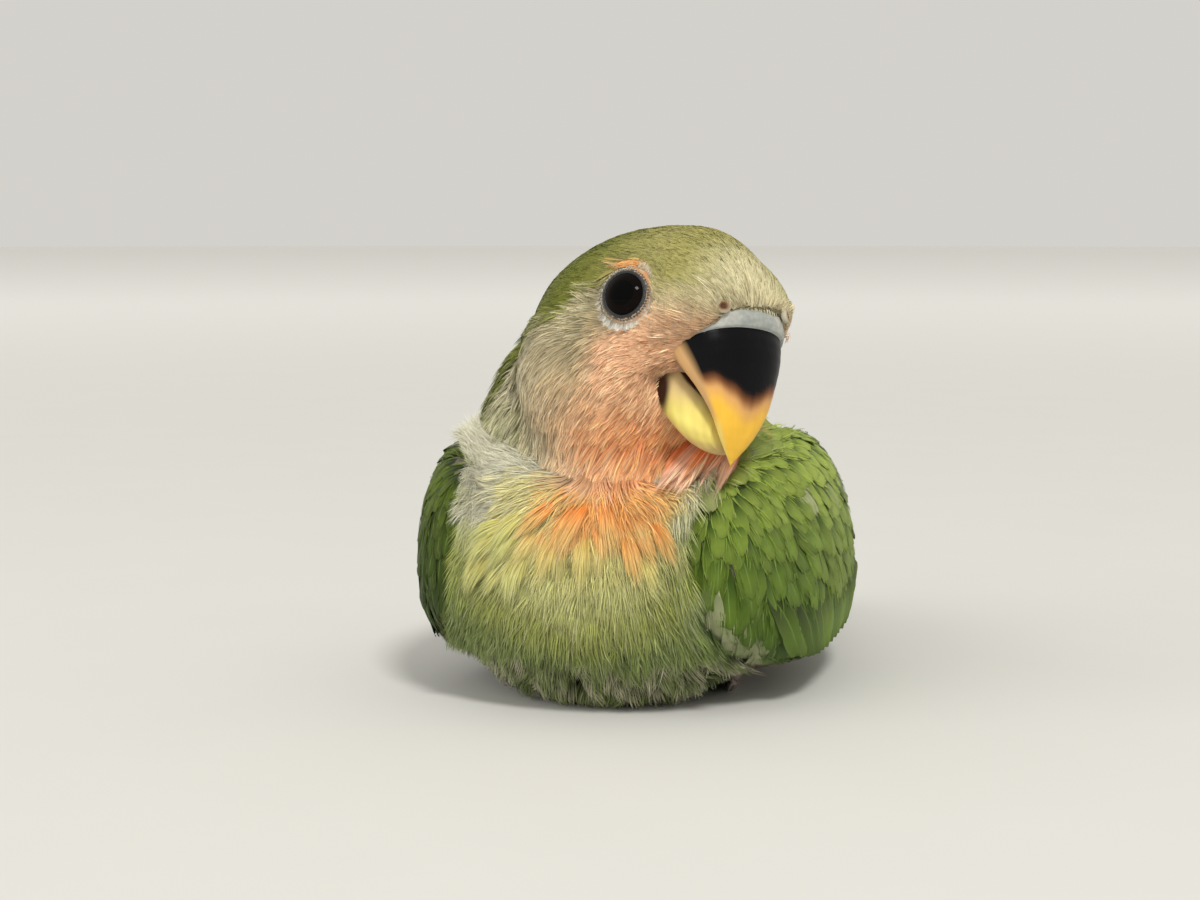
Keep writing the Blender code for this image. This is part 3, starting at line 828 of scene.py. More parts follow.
def studs_tree(name):
    """A Geometry Nodes tree that puts a rounded stud on each point of a mesh, turned to its facing."""
    tree = bpy.data.node_groups.new(name, "GeometryNodeTree")
    sockets = (
        ("Places", "INPUT", "NodeSocketGeometry"), ("Radius", "INPUT", "NodeSocketFloat"),
        ("Height", "INPUT", "NodeSocketFloat"), ("Seed", "INPUT", "NodeSocketInt"),
        ("Finish", "INPUT", "NodeSocketMaterial"), ("Studs", "OUTPUT", "NodeSocketGeometry"),
    )
    keys = {}
    for label, way, kind in sockets:
        keys[label] = tree.interface.new_socket(name=label, in_out=way, socket_type=kind).identifier

    def node(kind, links=None, **settings):
        made = tree.nodes.new(kind)
        for key, value in settings.items():
            setattr(made, key, value)
        for key, value in (links or {}).items():
            if isinstance(value, bpy.types.NodeSocket):
                tree.links.new(value, made.inputs[key])
            else:
                made.inputs[key].default_value = value
        return made

    given = node("NodeGroupInput").outputs
    grain = node("GeometryNodeMeshIcoSphere", {"Radius": 1.0, "Subdivisions": 2})
    size = node("ShaderNodeCombineXYZ", {"X": given["Radius"], "Y": given["Radius"], "Z": given["Height"]})
    grain = node("GeometryNodeTransform", {"Geometry": grain.outputs["Mesh"], "Scale": size.outputs[0]})
    facing = node("GeometryNodeInputNamedAttribute", {"Name": "facing"}, data_type="FLOAT_VECTOR")
    turned = node("FunctionNodeAlignRotationToVector", {"Vector": facing.outputs["Attribute"]}, axis="Z")
    varied = node("FunctionNodeRandomValue", {2: 0.7, 3: 1.25, "Seed": given["Seed"]}, data_type="FLOAT")
    links = {
        "Points": given["Places"], "Instance": grain.outputs["Geometry"],
        "Rotation": turned.outputs["Rotation"], "Scale": varied.outputs[1],
    }
    set_out = node("GeometryNodeInstanceOnPoints", links)
    real = node("GeometryNodeRealizeInstances", {"Geometry": set_out.outputs[0]})
    coloured = node("GeometryNodeSetMaterial", {"Geometry": real.outputs[0], "Material": given["Finish"]})
    node("NodeGroupOutput", {"Studs": coloured.outputs[0]})
    return tree, keys


STUDS_TREE, STUDS_KEYS = studs_tree("studs_on_points")


def studs(name, spots, facing, radius, height, seed, finish):
    """Small rounded studs of skin at the given places, as one plain mesh."""
    places = bpy.data.meshes.new(name)
    places.from_pydata([tuple(spot * MM) for spot in spots], [], [])
    layer = places.attributes.new("facing", "FLOAT_VECTOR", "POINT")
    layer.data.foreach_set("vector", facing.astype(np.float32).ravel())
    host = bpy.data.objects.new(name, places)
    bpy.context.collection.objects.link(host)
    maker = host.modifiers.new("studs", "NODES")
    maker.node_group = STUDS_TREE
    values = {"Radius": radius * MM, "Height": height * MM, "Seed": seed, "Finish": finish.material}
    for label, value in values.items():
        maker[STUDS_KEYS[label]] = value
    made = bpy.data.meshes.new_from_object(host.evaluated_get(bpy.context.evaluated_depsgraph_get()))
    host.modifiers.clear()
    host.data = made
    bpy.data.meshes.remove(places)
    made.shade_smooth()
    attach(host, "root")
    return host


def make_papillae():
    """Rows of small studs round each lid, mottled from grey to pale."""
    dice = np.random.default_rng(13)
    finish = Finish("papilla_skin", Roughness=0.7, Specular_IOR_Level=0.1)
    finish.set(Base_Color=finish.mix(finish.noise(1800.0), (0.34, 0.32, 0.27), (0.62, 0.58, 0.49)))
    for node, centre, axis in eye_places():
        spots, facing = [], []
        for row in range(PAPILLA_ROWS):
            turn = (np.arange(PAPILLAE) + 0.5 * (row % 2)) * 2 * math.pi / PAPILLAE
            turn = turn + dice.normal(0, 0.04, PAPILLAE)
            angle = 0.98 + 0.06 * row + dice.normal(0, 0.02, PAPILLAE)
            out = off_axis(axis, spokes(axis, turn), angle)
            spots.append(centre + out * (3.77 - 0.02 * row))
            facing.append(out)
        piece = studs(
            f"{node}_papillae", np.concatenate(spots), np.concatenate(facing), 0.13, 0.08, 5, finish,
        )


make_eyes()
make_papillae()

# Bill
# Horn over bone: the upper half hooks down over the scoop of the lower one. It is black at the base, as in a
# fledgling, and brown to yellow towards the tip, with a peach coloured cutting edge and fine growth lines.
BILL_UPPER_ROWS = (
    (9.0, 2.2, 2.2, -1.0, 7.1), (11.1, 3.0, 4.2, -1.4, 7.7), (12.4, 0.4, 6.4, -3.4, 6.8),
    (12.8, -3.3, 8.2, -5.1, 5.5), (12.6, -7.0, 9.9, -7.3, 4.1), (12.0, -10.2, 10.4, -10.0, 2.3),
    (10.8, -13.0, 10.5, -12.7, 0.0),
)
BILL_LOWER_ROWS = (
    (0.8, -6.6, -0.8, 5.6), (3.0, -8.8, -1.0, 6.3), (6.0, -11.2, -2.6, 5.6), (8.4, -12.0, -5.4, 4.2),
    (9.8, -11.6, -8.2, 2.8),
)
CERE_ROWS = (
    (9.0, 5.1, 2.6, 0.5, 7.2), (10.7, 4.9, 3.2, -0.2, 7.9), (11.8, 3.8, 4.2, -1.2, 8.1),
    (11.9, 2.7, 4.8, -2.0, 7.8),
)
# How many rings each has along it, and how many points each ring has.
UPPER_GRID = (56, 64)
LOWER_GRID = (80, 112)
CERE_GRID = (18, 96)
NOSTRIL_SEGMENTS = 28
BILL_EDGE_SHARE = 0.26
BILL_BLACK = (0.004, 0.004, 0.005)
BILL_BROWN = (0.20, 0.075, 0.03)
BILL_PEACH = (0.68, 0.36, 0.13)
BILL_YELLOW = (0.86, 0.50, 0.06)
BILL_LEMON = (0.68, 0.55, 0.15)
BILL_TAN = (0.56, 0.40, 0.20)
EDGE_PEACH = (0.56, 0.34, 0.15)
EDGE_YELLOW = (0.78, 0.60, 0.17)
HIGHLIGHT_YELLOW = (0.80, 0.70, 0.19)
MOUTH_SHADE = (0.035, 0.014, 0.008)
SLIT_SHADE = (0.05, 0.018, 0.012)


def spline_rows(rows, count):
    """Rows along a smooth curve through the given rows."""
    rows = np.array(rows, float)
    padded = np.vstack([2 * rows[0] - rows[1], rows, 2 * rows[-1] - rows[-2]])
    along = np.linspace(0, len(rows) - 1, count)
    index = np.minimum(along.astype(int), len(rows) - 2)
    share = (along - index)[:, None]
    a, b, c, d = (padded[index + k] for k in range(4))
    linear = (c - a) * share
    square = (2 * a - 5 * b + 4 * c - d) * share**2
    cube = (3 * b - a - 3 * c + d) * share**3
    return 0.5 * (2 * b + linear + square + cube)


def oval(centre, up, half, above, below, power, count):
    """A closed ring across the head's width, fuller than an ellipse where power is over 2."""
    angle = np.linspace(0, 2 * math.pi, count, endpoint=False)
    side = np.sign(np.cos(angle)) * np.abs(np.cos(angle)) ** (2 / power)
    lift = np.sign(np.sin(angle)) * np.abs(np.sin(angle)) ** (2 / power)
    reach = np.where(lift > 0, above, below) * lift
    return centre + np.outer(side * half, (1, 0, 0)) + np.outer(reach, up)


def ridge_rings(rows, count, points, growth=0.0):
    """Rings from the ridge down to the cutting edge, widest near the edge."""
    made = []
    for ridge_y, ridge_z, edge_y, edge_z, half in spline_rows(rows, count):
        ridge = np.array([0, -ridge_y, ridge_z])
        edge = np.array([0, -edge_y, edge_z])
        length = np.linalg.norm(ridge - edge)
        up = (ridge - edge) / length
        level = edge + (ridge - edge) * BILL_EDGE_SHARE
        above = length * (1 - BILL_EDGE_SHARE) + growth
        below = length * BILL_EDGE_SHARE + growth
        made.append(oval(level, up, max(half, 0.06) + growth, above, below, 2.25, points))
    return made


def closed_loft(rings):
    """Points and faces of a closed body through rings of one count."""
    return np.concatenate(rings), closed_faces(len(rings), len(rings[0]))


def from_middles(points, grid):
    """The way out to each point from the middle of its ring."""
    middles = points.reshape(*grid, 3).mean(axis=1)
    return unit(points - middles.repeat(grid[1], axis=0))


def outward(points, groups):
    """Turns the faces round where they face inwards."""
    volume = 0.0
    for faces in groups:
        a = points[faces[:, 0]]
        for k in range(1, faces.shape[1] - 1):
            volume += (a * np.cross(points[faces[:, k]], points[faces[:, k + 1]])).sum()
    return groups if volume > 0 else [faces[:, ::-1] for faces in groups]


def horn_finish(name):
    """Colours come from the mesh; fine growth lines and a waxy gloss come from the nodes."""
    finish = Finish(name, Roughness=0.3, Specular_IOR_Level=0.08)
    grain = finish.noise(700.0, 4.0, (1.0, 1.0, 0.35))
    finish.set(Base_Color=finish.mottled(finish.tint(), grain, 0.86, 1.12), Roughness=0.24 + grain * 0.16)
    finish.bump(grain, 0.00005)
    return finish


def along_and_round(grid):
    """How far along the bill each point is, as a share, and its turn round its ring."""
    row, turn = ring_numbers(*grid)
    return row / (grid[0] - 1), turn


def make_upper_bill(horn):
    """The hooked upper half, black to yellow at the tip; returns its points and the way out at each."""
    points, groups = closed_loft(ridge_rings(BILL_UPPER_ROWS, *UPPER_GRID))
    along, turn = along_and_round(UPPER_GRID)
    lift = np.sin(turn)
    ragged = 0.008 * np.sin(turn * 5 + 1.0) + 0.006 * np.sin(turn * 13)
    level = along - 0.05 + 0.15 * np.abs(np.cos(turn)) + ragged
    colour = blended(BILL_BLACK, BILL_BROWN, rise(level, 0.52, 0.58))
    colour = blended(colour, BILL_PEACH, rise(level, 0.56, 0.63))
    colour = blended(colour, BILL_YELLOW, rise(level, 0.60, 0.72))
    edge = rise(lift, 0.26, 0.12)
    colour = blended(colour, EDGE_PEACH, edge * rise(along, 0.16, 0.24) * rise(along, 0.86, 0.6))
    colour = blended(colour, EDGE_YELLOW, rise(lift, 0.55, 0.2) * rise(along, 0.66, 0.8))
    # Painted shade under the upper half's cutting edge, near its base.
    colour = blended(colour, SLIT_SHADE, rise(lift, -0.40, -0.60) * rise(along, 0.75, 0.6))
    growth_lines = 0.02 * np.sin(along * 95) * np.maximum(lift, 0)
    away = from_middles(points, UPPER_GRID)
    points = points + away * growth_lines[:, None]
    facing = normals_of(points, groups[0])
    facing *= np.sign((facing * away).sum(axis=1, keepdims=True))
    placed = from_head(points)
    upper = new_piece("bill_upper_horn", placed, outward(placed, groups), tint=colour, finish=horn)
    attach(upper, "root")
    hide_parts("bill_upper")
    return points, facing


def make_lower_bill(horn, upper_points, facing):
    """The scoop of the lower half, lemon with a tan rim, a painted highlight and painted shade under the
    upper half.
    """
    rings = []
    for forward, bottom, top, half in spline_rows(BILL_LOWER_ROWS, LOWER_GRID[0]):
        level = bottom + 0.62 * (top - bottom)
        centre = np.array([0, -forward, level])
        rings.append(oval(centre, (0, 0, 1), half, top - level, level - bottom, 2.3, LOWER_GRID[1]))
    points, groups = closed_loft(rings)
    along, turn = along_and_round(LOWER_GRID)
    lift = np.sin(turn)
    colour = blended(BILL_LEMON, BILL_TAN, rise(points[:, 2], -8.5, -4.5) * 0.9)
    # A painted highlight low on the lower half's side.
    colour = blended(colour, HIGHLIGHT_YELLOW, hump(points[:, 2], -8.6, 1.6) * hump(points[:, 1], -6.5, 2.6))
    colour = blended(colour, BILL_TAN, rise(lift, -0.5, -0.95) * 0.8)
    worn = np.sin(along * 41 + lift * 3) * 0.04 + np.sin(turn * 17 + along * 9) * 0.03
    colour = np.maximum(colour * (1 + worn)[:, None], 0.002)
    # Painted shade in the gape, the corner of the mouth.
    gape = np.linalg.norm((np.abs(points) - (5.6, 4.3, 5.6)) * (0.5, 1.0, 0.45), axis=1)
    colour = blended(colour, MOUTH_SHADE, rise(gape, 1.5, 0.6))
    # Painted shade on the lower half where the upper half closes over it.
    beside = nearest(tree_of(upper_points), points)
    from_upper = ((points - upper_points[beside]) * facing[beside]).sum(axis=1)
    slit = 0.25 + 0.70 * rise(points[:, 2], -8.5, -4.0)
    colour = blended(colour, SLIT_SHADE, rise(from_upper / slit, 1.1, 0.9))
    points = from_head(points)
    lower = new_piece("bill_lower_horn", points, outward(points, groups), tint=colour, finish=horn)
    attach(lower, "root")
    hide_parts("bill_lower")


NOSTRIL_AT = np.array([5.25, -11.45, 4.5])
NOSTRIL_PROFILE = (
    (0.04, 0.62), (0.30, 0.66), (0.44, 0.86), (0.58, 0.97), (0.76, 0.98), (0.95, 0.88), (1.15, 0.66),
)


def nostril_gap(points):
    """The distance from the nearer nostril, in the head's frame."""
    gaps = [np.linalg.norm((points - NOSTRIL_AT * (side, 1, 1)) * (1, 1, 1.15), axis=-1) for side in (-1, 1)]
    return np.minimum(*gaps)


def make_cere():
    """The waxy grey band over the bill, with a low ring round each nostril and a dent under it."""
    points, groups = closed_loft(ridge_rings(CERE_ROWS, *CERE_GRID))
    gap = nostril_gap(points)
    nostril_dents = 0.30 * hump(gap, 1.15, 0.40) - 1.0 * hump(gap, 0, 0.62)
    points = points + from_middles(points, CERE_GRID) * nostril_dents[:, None]
    finish = Finish("cere_wax", Roughness=0.55, Specular_IOR_Level=0.2)
    speckle = finish.noise(1500.0, 3.0)
    finish.set(Base_Color=finish.mottled(finish.tint(), speckle.rise(0.35, 0.7), 0.9, 1.12))
    finish.bump(speckle, 0.00006)
    colour = blended((0.24, 0.275, 0.265), (0.50, 0.49, 0.44), rise(gap, 5.0, 1.0) * 0.9)
    colour = blended(colour, (0.42, 0.42, 0.38), rise(np.abs(points[:, 0]), 3.0, 0.5) * 0.5)
    points = from_head(points)
    cere = new_piece("cere_skin_band", points, outward(points, groups), tint=colour, finish=finish)
    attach(cere, "root")
    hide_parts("cere")


def make_nostrils():
    """A round opening on each side of the cere's top edge, brown inside a pale raised rim."""
    finish = Finish("nostril_skin", Roughness=0.5, Specular_IOR_Level=0.2)
    finish.set(Base_Color=finish.tint())
    points, groups, tint = [], [], []
    for side in (-1, 1):
        out = unit(np.array([side * 0.55, -0.74, 0.38]))
        spot = from_head(NOSTRIL_AT * (side, 1, 1) - out * 0.84)
        rows = [(angle * 1.1, reach * 1.02) for angle, reach in NOSTRIL_PROFILE]
        rim = turned_shape(spot, out @ HEAD_AXES.T, rows, NOSTRIL_SEGMENTS, oval_share=-0.22)
        first = len(points) * len(rim)
        walls, floor, _ = closed_faces(len(rows), NOSTRIL_SEGMENTS)
        groups += [walls + first, floor + first]
        points.append(rim)
        row, _ = ring_numbers(len(rows), NOSTRIL_SEGMENTS)
        tone = blended((0.06, 0.02, 0.008), (0.26, 0.15, 0.06), rise(row, 1.2, 2.6))
        tint.append(blended(tone, (0.46, 0.43, 0.33), rise(row, 2.4, 4.0)))
    rims = new_piece("nostrils", np.concatenate(points), groups, tint=np.concatenate(tint), finish=finish)
    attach(rims, "root")


BILL_HORN = horn_finish("bill_horn_layers")
make_lower_bill(BILL_HORN, *make_upper_bill(BILL_HORN))
make_cere()
make_nostrils()

# Coat of the head
# Short soft feathers whose barbs part like hair, each barb a thin tapered blade. On the crown they are tiny
# and lie flat; on the cheeks they run back from the gape, turn down and end in pointed locks.
PATCH = 0.003
LID_RAYS = 600
CERE_TUFTS = 4500
# How wide a barb is at each step from its root to its tip.
BARB_WIDTHS = {4: (0.75, 1.0, 0.85, 0.0), 3: (0.9, 0.85, 0.0)}


def plant(weight, count, dice, gap=None):
    """Root places spread over the skin where the weight is, with the number of a corner beside each."""
    quad = SKIN_POINTS[SKIN_QUADS]
    area = np.linalg.norm(np.cross(quad[:, 2] - quad[:, 0], quad[:, 3] - quad[:, 1]), axis=1)
    odds = area * weight[SKIN_QUADS].mean(axis=1)
    pick = dice.choice(len(odds), count, p=odds / odds.sum())
    s, t = dice.random((2, count, 1))
    quad = quad[pick]
    spots = (quad[:, 0] * (1 - s) + quad[:, 1] * s) * (1 - t) + (quad[:, 3] * (1 - s) + quad[:, 2] * s) * t
    corner = SKIN_QUADS[pick, 0]
    if gap is None:
        return spots, corner
    keep = apart(spots, np.broadcast_to(gap, (len(SKIN_POINTS),))[corner])
    return spots[keep], corner[keep]


def apart(spots, gaps):
    """The numbers of the spots that stay when none may lie closer to another than its gap."""
    size = gaps.max()
    taken = {}
    kept = []
    cells = np.floor(spots / size).astype(int)
    nearby = [(i, j, k) for i in (-1, 0, 1) for j in (-1, 0, 1) for k in (-1, 0, 1)]
    for number, (spot, cell, gap) in enumerate(zip(spots.tolist(), cells.tolist(), (gaps**2).tolist())):
        clear = True
        for i, j, k in nearby:
            for x, y, z in taken.get((cell[0] + i, cell[1] + j, cell[2] + k), ()):
                if (x - spot[0]) ** 2 + (y - spot[1]) ** 2 + (z - spot[2]) ** 2 < gap:
                    clear = False
                    break
            if not clear:
                break
        if clear:
            taken.setdefault(tuple(cell), []).append(spot)
            kept.append(number)
    return np.array(kept)


class Paths:
    """Lines that feathers follow: steps along each, with the ways out from the body and sideways there."""

    def __init__(self, points, normals, sides):
        self.points, self.normals, self.sides = points, normals, sides
        self.length = np.linalg.norm(points[:, -1] - points[:, 0], axis=1)

    @classmethod
    def over_skin(cls, spots, lengths, dice, stray=0.12, steps=4, hug=1.0):
        """Paths from the roots along the lie of the coat; hug says how closely they follow a hollow."""
        points, normals, sides = [], [], []
        heading = None
        lean = dice.normal(0, stray, (len(spots), 1))
        spot = spots
        for _ in range(steps + 1):
            near = nearest(SKIN_TREE, spot)
            normal = SKIN_NORMALS[near] if heading is None else unit(normals[-1] + SKIN_NORMALS[near] * hug)
            drop = ((spot - SKIN_POINTS[near]) * normal).sum(axis=1, keepdims=True)
            spot = spot - normal * np.where(drop < 0, drop, drop * hug)
            wanted = SKIN_FLOW[near]
            wanted = unit(wanted + np.cross(wanted, normal) * lean)
            heading = wanted if heading is None else unit(heading + wanted)
            heading = unit(heading - normal * (heading * normal).sum(axis=1, keepdims=True))
            points.append(spot)
            normals.append(normal)
            sides.append(np.cross(heading, normal))
            spot = spot + heading * (lengths / steps)[:, None]
        return cls(np.stack(points, axis=1), np.stack(normals, axis=1), np.stack(sides, axis=1))

    @classmethod
    def joined(cls, paths):
        parts = ("points", "normals", "sides")
        return cls(*(np.concatenate([getattr(path, part) for path in paths]) for part in parts))

    def kept(self, keep):
        return Paths(self.points[keep], self.normals[keep], self.sides[keep])

    def at(self, share):
        """Points, normals and sides at shares of the way along, one row of shares for each path."""
        last = self.points.shape[1] - 1
        along = np.clip(share, 0, 1) * last
        index = np.minimum(along.astype(int), last - 1)
        part = (along - index)[..., None]
        rows = np.arange(len(index)).reshape(-1, *[1] * (index.ndim - 1))
        return [
            table[rows, index] * (1 - part) + table[rows, index + 1] * part
            for table in (self.points, self.normals, self.sides)
        ]


def unwrapped(points, centre, axis):
    """Places on an unwrap seen from inside; the angle off the axis gives the distance from its middle."""
    axis = unit(np.array(axis, float))
    offset = unit(points - centre)
    first, second = square_axes(axis)
    wide = np.arccos(np.clip(offset @ axis, -1, 1)) / math.pi
    turn = np.arctan2(offset @ second, offset @ first)
    return 0.5 + 0.49 * np.column_stack([np.cos(turn), np.sin(turn)]) * wide[:, None]


def curve_through(low, middle, high, share):
    """A smooth curve that has the three values at shares 0, a half and 1."""
    from_low = low * (1 - share) * (1 - 2 * share)
    from_high = high * share * (2 * share - 1)
    return from_low + middle * 4 * share * (1 - share) + from_high


def barbs(
    name, lie, tints, dice, each, thread, half, fan, lift, unwrap, finish,
    fluff=0.15, taper=0.3, stations=4, start=0.0, shade=0.1, root_share=1.0, rim=False, pale=0.0,
):
    """A coat piece of thin blades, a few to each feather.

    half is a feather's half width. fan gives its width as shares of that at its root, middle and tip, and
    lift its height over the skin there. A rim has its blades along the two edges of a vane only. pale says
    how many blades bleach towards their tips.
    """
    count = len(lie.points)
    across = (np.arange(each) + dice.random((count, each))) / each * 2 - 1
    if rim:
        across = np.sign(across) * dice.uniform(0.62, 1.0, across.shape)
    ends = 1 - taper * np.abs(across) - 0.12 * dice.random((count, each))
    begins = start * dice.random((count, each))
    if rim:
        ends = np.minimum(begins + 0.34, 1.04)
    step = np.linspace(0, 1, stations)
    share = begins[..., None] + (ends - begins)[..., None] * step
    points, normals, sides = lie.at(share)
    half = np.broadcast_to(half, (count,))[:, None, None]
    sway = dice.normal(0, 0.16, (count, each, 1)) * share
    sideways = half * (across[..., None] + sway) * curve_through(*fan, share)
    scale = np.minimum(lie.length / lie.length.mean(), 1.4)[:, None, None]
    height = curve_through(*lift, share) * scale + fluff * dice.normal(0, 1, (count, each, 1)) * share
    height = np.maximum(height, 0.02 + 0.05 * share)
    centres = points + sides * sideways[..., None] + normals * height[..., None]
    tilt = dice.normal(0, 0.5, (count, each, 1, 1))
    wide = sides * np.cos(tilt) + normals * np.sin(tilt)
    body = np.array(BARB_WIDTHS[stations])
    offset = wide[:, :, :-1] * (body[:-1] * thread / 2)[:, None]
    left = centres[:, :, :-1] - offset
    right = centres[:, :, :-1] + offset
    pairs = np.stack([left, right], axis=3).reshape(count, each, 2 * (stations - 1), 3)
    blades = np.concatenate([pairs, centres[:, :, -1:]], axis=2).reshape(-1, 3)
    blades[:, 2] = np.maximum(blades[:, 2], 0.04)

    size = 2 * stations - 1
    base = np.arange(count * each)[:, None] * size
    quads = np.concatenate([base + 2 * k + np.array([0, 1, 3, 2]) for k in range(stations - 2)])
    tips = base + np.array([size - 3, size - 2, size - 1])
    level = np.append(np.repeat(step[:-1], 2), 1.0)
    level = (begins[..., None] + (ends - begins)[..., None] * level).reshape(-1)
    side = np.tile(np.append(np.tile([0.0, 1.0], stations - 1), 0.5), count * each)
    root_tint, tip_tint = tints
    owner = np.repeat(np.arange(count), each * size)
    colour = blended(root_tint[owner], tip_tint[owner], rise(level, 0.15, 0.8))
    tone = 1 + dice.normal(0, shade, count)[owner]
    tone *= 1 + np.repeat(dice.normal(0, shade, count * each), size)
    # Painted shade: root_share darkens each blade towards its root, where the coat overlaps it.
    tone *= root_share + (1 - root_share) * rise(level, 0.0, 0.55)
    bleached = np.repeat(np.clip(dice.normal(0, 1, count * each), 0, 2) * pale, size) * rise(level, 0.1, 0.7)
    colour = np.clip(blended(colour * tone[:, None], PALE_BARB, np.minimum(bleached, 0.9)), 0.002, 0.95)
    place = unwrapped(lie.points[:, 0], *unwrap)[owner]
    spread_out = np.column_stack([np.repeat(across.reshape(-1), size) * 0.5 + 0.5, level])
    maps = {"OFBake": place + (spread_out - 0.5) * PATCH, "barb": np.column_stack([side, level])}
    piece = new_piece(name, blades, [quads, tips], maps, colour, finish)
    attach(piece, "root")
    return piece


def barb_finish(name, roughness, sheen, bleach=0.25):
    """A soft sheen over the tint that the mesh carries, mottled a little and bleached at the barbs' ends."""
    fixed = {"Roughness": roughness, "Sheen_Weight": sheen, "Sheen_Roughness": 0.45}
    finish = Finish(name, Specular_IOR_Level=0.12, **fixed)
    along = finish.axis(finish.node("UVMap", {"uv_map": "barb"}), "Y")
    mottled = finish.mottled(finish.tint(), finish.noise(420.0, 3.0), 0.84, 1.14)
    finish.set(Base_Color=finish.mix(along.rise(0.7, 1.0) * bleach, mottled, (0.75, 0.70, 0.52)))
    return finish


def markings_at(corner):
    """The skin's root and tip colours at its corners."""
    return ROOT_TINT[corner], TIP_TINT[corner]


def eye_angle(points):
    """The least angle off an eye's axis, or a wide one for points away from the eyes."""
    angles = []
    for _, centre, axis in eye_places():
        angle = np.arccos(np.clip(unit(points - centre) @ axis, -1, 1))
        angles.append(np.where(gap_to(points, centre) < EYE_RADIUS + 1.8, angle, math.pi))
    return np.minimum(*angles)


def clear_of_openings(lie):
    """Paths that reach neither over the lids nor over the nostrils."""
    over_lids = eye_angle(lie.points[:, 2:]) < LID_END - 0.22
    over_nostrils = nostril_gap(head_view(lie.points)) < 0.9
    return ~(over_lids.any(axis=1) | over_nostrils.any(axis=1))


def grown(weight, count, lengths, dice, **ways):
    """Roots planted by weight and their paths over the skin, without those over an eye or a nostril.

    lengths is one length, or one for each corner of the skin.
    """
    spots, corner = plant(weight, count, dice)
    length = np.broadcast_to(lengths, (len(SKIN_POINTS),))[corner] * dice.uniform(0.8, 1.2, len(corner))
    lie = Paths.over_skin(spots, length, dice, **ways)
    keep = clear_of_openings(lie)
    return lie.kept(keep), corner[keep]


HEAD_MIDDLE = from_head(np.array([0, 2.0, -2.0]))
FACE_UNWRAP = (HEAD_MIDDLE, HEAD_AXES @ np.array([0, -1.0, 0]))
CROWN_UNWRAP = (HEAD_MIDDLE, HEAD_AXES @ np.array([0, 0, 1.0]))


def straight(spots, headings, normals, lengths, rise_by=0.0):
    """Paths that run straight from their roots, climbing by a share of their length towards the tip."""
    steps = 4
    share = np.linspace(0, 1, steps + 1)
    headings = unit(headings - normals * (headings * normals).sum(axis=1, keepdims=True))
    reach = share[None, :, None] * lengths[:, None, None]
    climb = share[None, :, None] ** 2 * lengths[:, None, None] * rise_by
    points = spots[:, None] + headings[:, None] * reach + normals[:, None] * climb
    over = np.repeat(normals[:, None], steps + 1, axis=1)
    return Paths(points, over, np.cross(np.repeat(headings[:, None], steps + 1, axis=1), over))


def make_eye_rings(soft):
    """Tiny whitish feathers that stand round the lids like rays, thickest below, where they are longest and
    palest.
    """
    dice = np.random.default_rng(23)
    paths, share_below = [], []
    for _, centre, axis in eye_places():
        turn = dice.uniform(0, 2 * math.pi, LID_RAYS)
        below = 0.5 - 0.5 * np.sin(turn)
        angle = dice.uniform(1.0, 1.28, len(turn))
        level = spokes(axis, turn)
        out = off_axis(axis, level, angle)
        away = np.cos(angle)[:, None] * level - np.sin(angle)[:, None] * axis
        lengths = (0.7 + 0.7 * below) * dice.uniform(0.6, 1.3, len(turn))
        bend = np.array([0.0, 0.0, -0.5]) * rise(below, 0.3, 1.0)[:, None]
        paths.append(straight(centre + out * 3.80, away + bend, out, lengths))
        share_below.append(below)
    lie = Paths.joined(paths)
    flat = lie.points.reshape(-1, 3)
    under = nearest(SKIN_TREE, flat)
    above = ((flat - SKIN_POINTS[under]) * SKIN_NORMALS[under]).sum(axis=1)
    flat = flat + SKIN_NORMALS[under] * np.maximum(0.06 - above, 0)[:, None]
    lie.points = flat.reshape(lie.points.shape)
    tone = blended((0.50, 0.42, 0.29), (0.60, 0.57, 0.49), np.concatenate(share_below))
    rays = barbs(
        "coat_eye_rings", lie, (tone * 0.7, tone * 1.2), dice, each=4, thread=0.07, half=0.16,
        fan=(0.8, 1.0, 0.6), lift=(0.0, 0.10, 0.14), unwrap=FACE_UNWRAP, finish=soft, fluff=0.05, stations=3,
        shade=0.14,
    )


def make_cere_feathers(soft):
    """The tiny buff feathers whose roots are on the cere's back half, leaving the nostrils clear."""
    dice = np.random.default_rng(24)
    rings = np.array(ridge_rings(CERE_ROWS, *CERE_GRID))
    turn = (math.pi / 2 + dice.uniform(-1.65, 1.65, CERE_TUFTS)) / (2 * math.pi) * CERE_GRID[1]
    row = dice.uniform(0, 8.5, len(turn))
    column = turn.astype(int) % CERE_GRID[1]
    low, high = rings[row.astype(int), column], rings[row.astype(int) + 1, column]
    spots = low + (high - low) * (row % 1)[:, None]
    middle = rings.mean(axis=1)[row.astype(int)]
    normals = unit(spots - middle)
    keep = nostril_gap(spots) > 0.66
    spots, normals, back, row = spots[keep], normals[keep], (low - high)[keep], row[keep]
    from_nostril = nostril_gap(spots)
    away = spots - on_own_side(NOSTRIL_AT, spots)
    headings = unit(back) + unit(away) * hump(from_nostril, 0.7, 0.9)[:, None] * 0.9
    lengths = (0.9 + 0.9 * rise(row, 6, 1)) * dice.uniform(0.75, 1.25, len(spots))
    lengths *= 0.5 + 0.5 * rise(from_nostril, 0.7, 2.0)
    turned = HEAD_AXES.T
    lie = straight(from_head(spots), headings @ turned, normals @ turned, lengths, rise_by=0.03)
    tone = blended((0.68, 0.65, 0.53), (0.62, 0.57, 0.38), rise(from_nostril, 0.8, 3.5))
    tufts = barbs(
        "coat_cere", lie, (tone * 0.85, tone * 1.15), dice, each=6, thread=0.085, half=0.26,
        fan=(0.8, 1.0, 0.6), lift=(0.02, 0.12, 0.12), unwrap=FACE_UNWRAP, finish=soft, fluff=0.03, stations=3,
    )


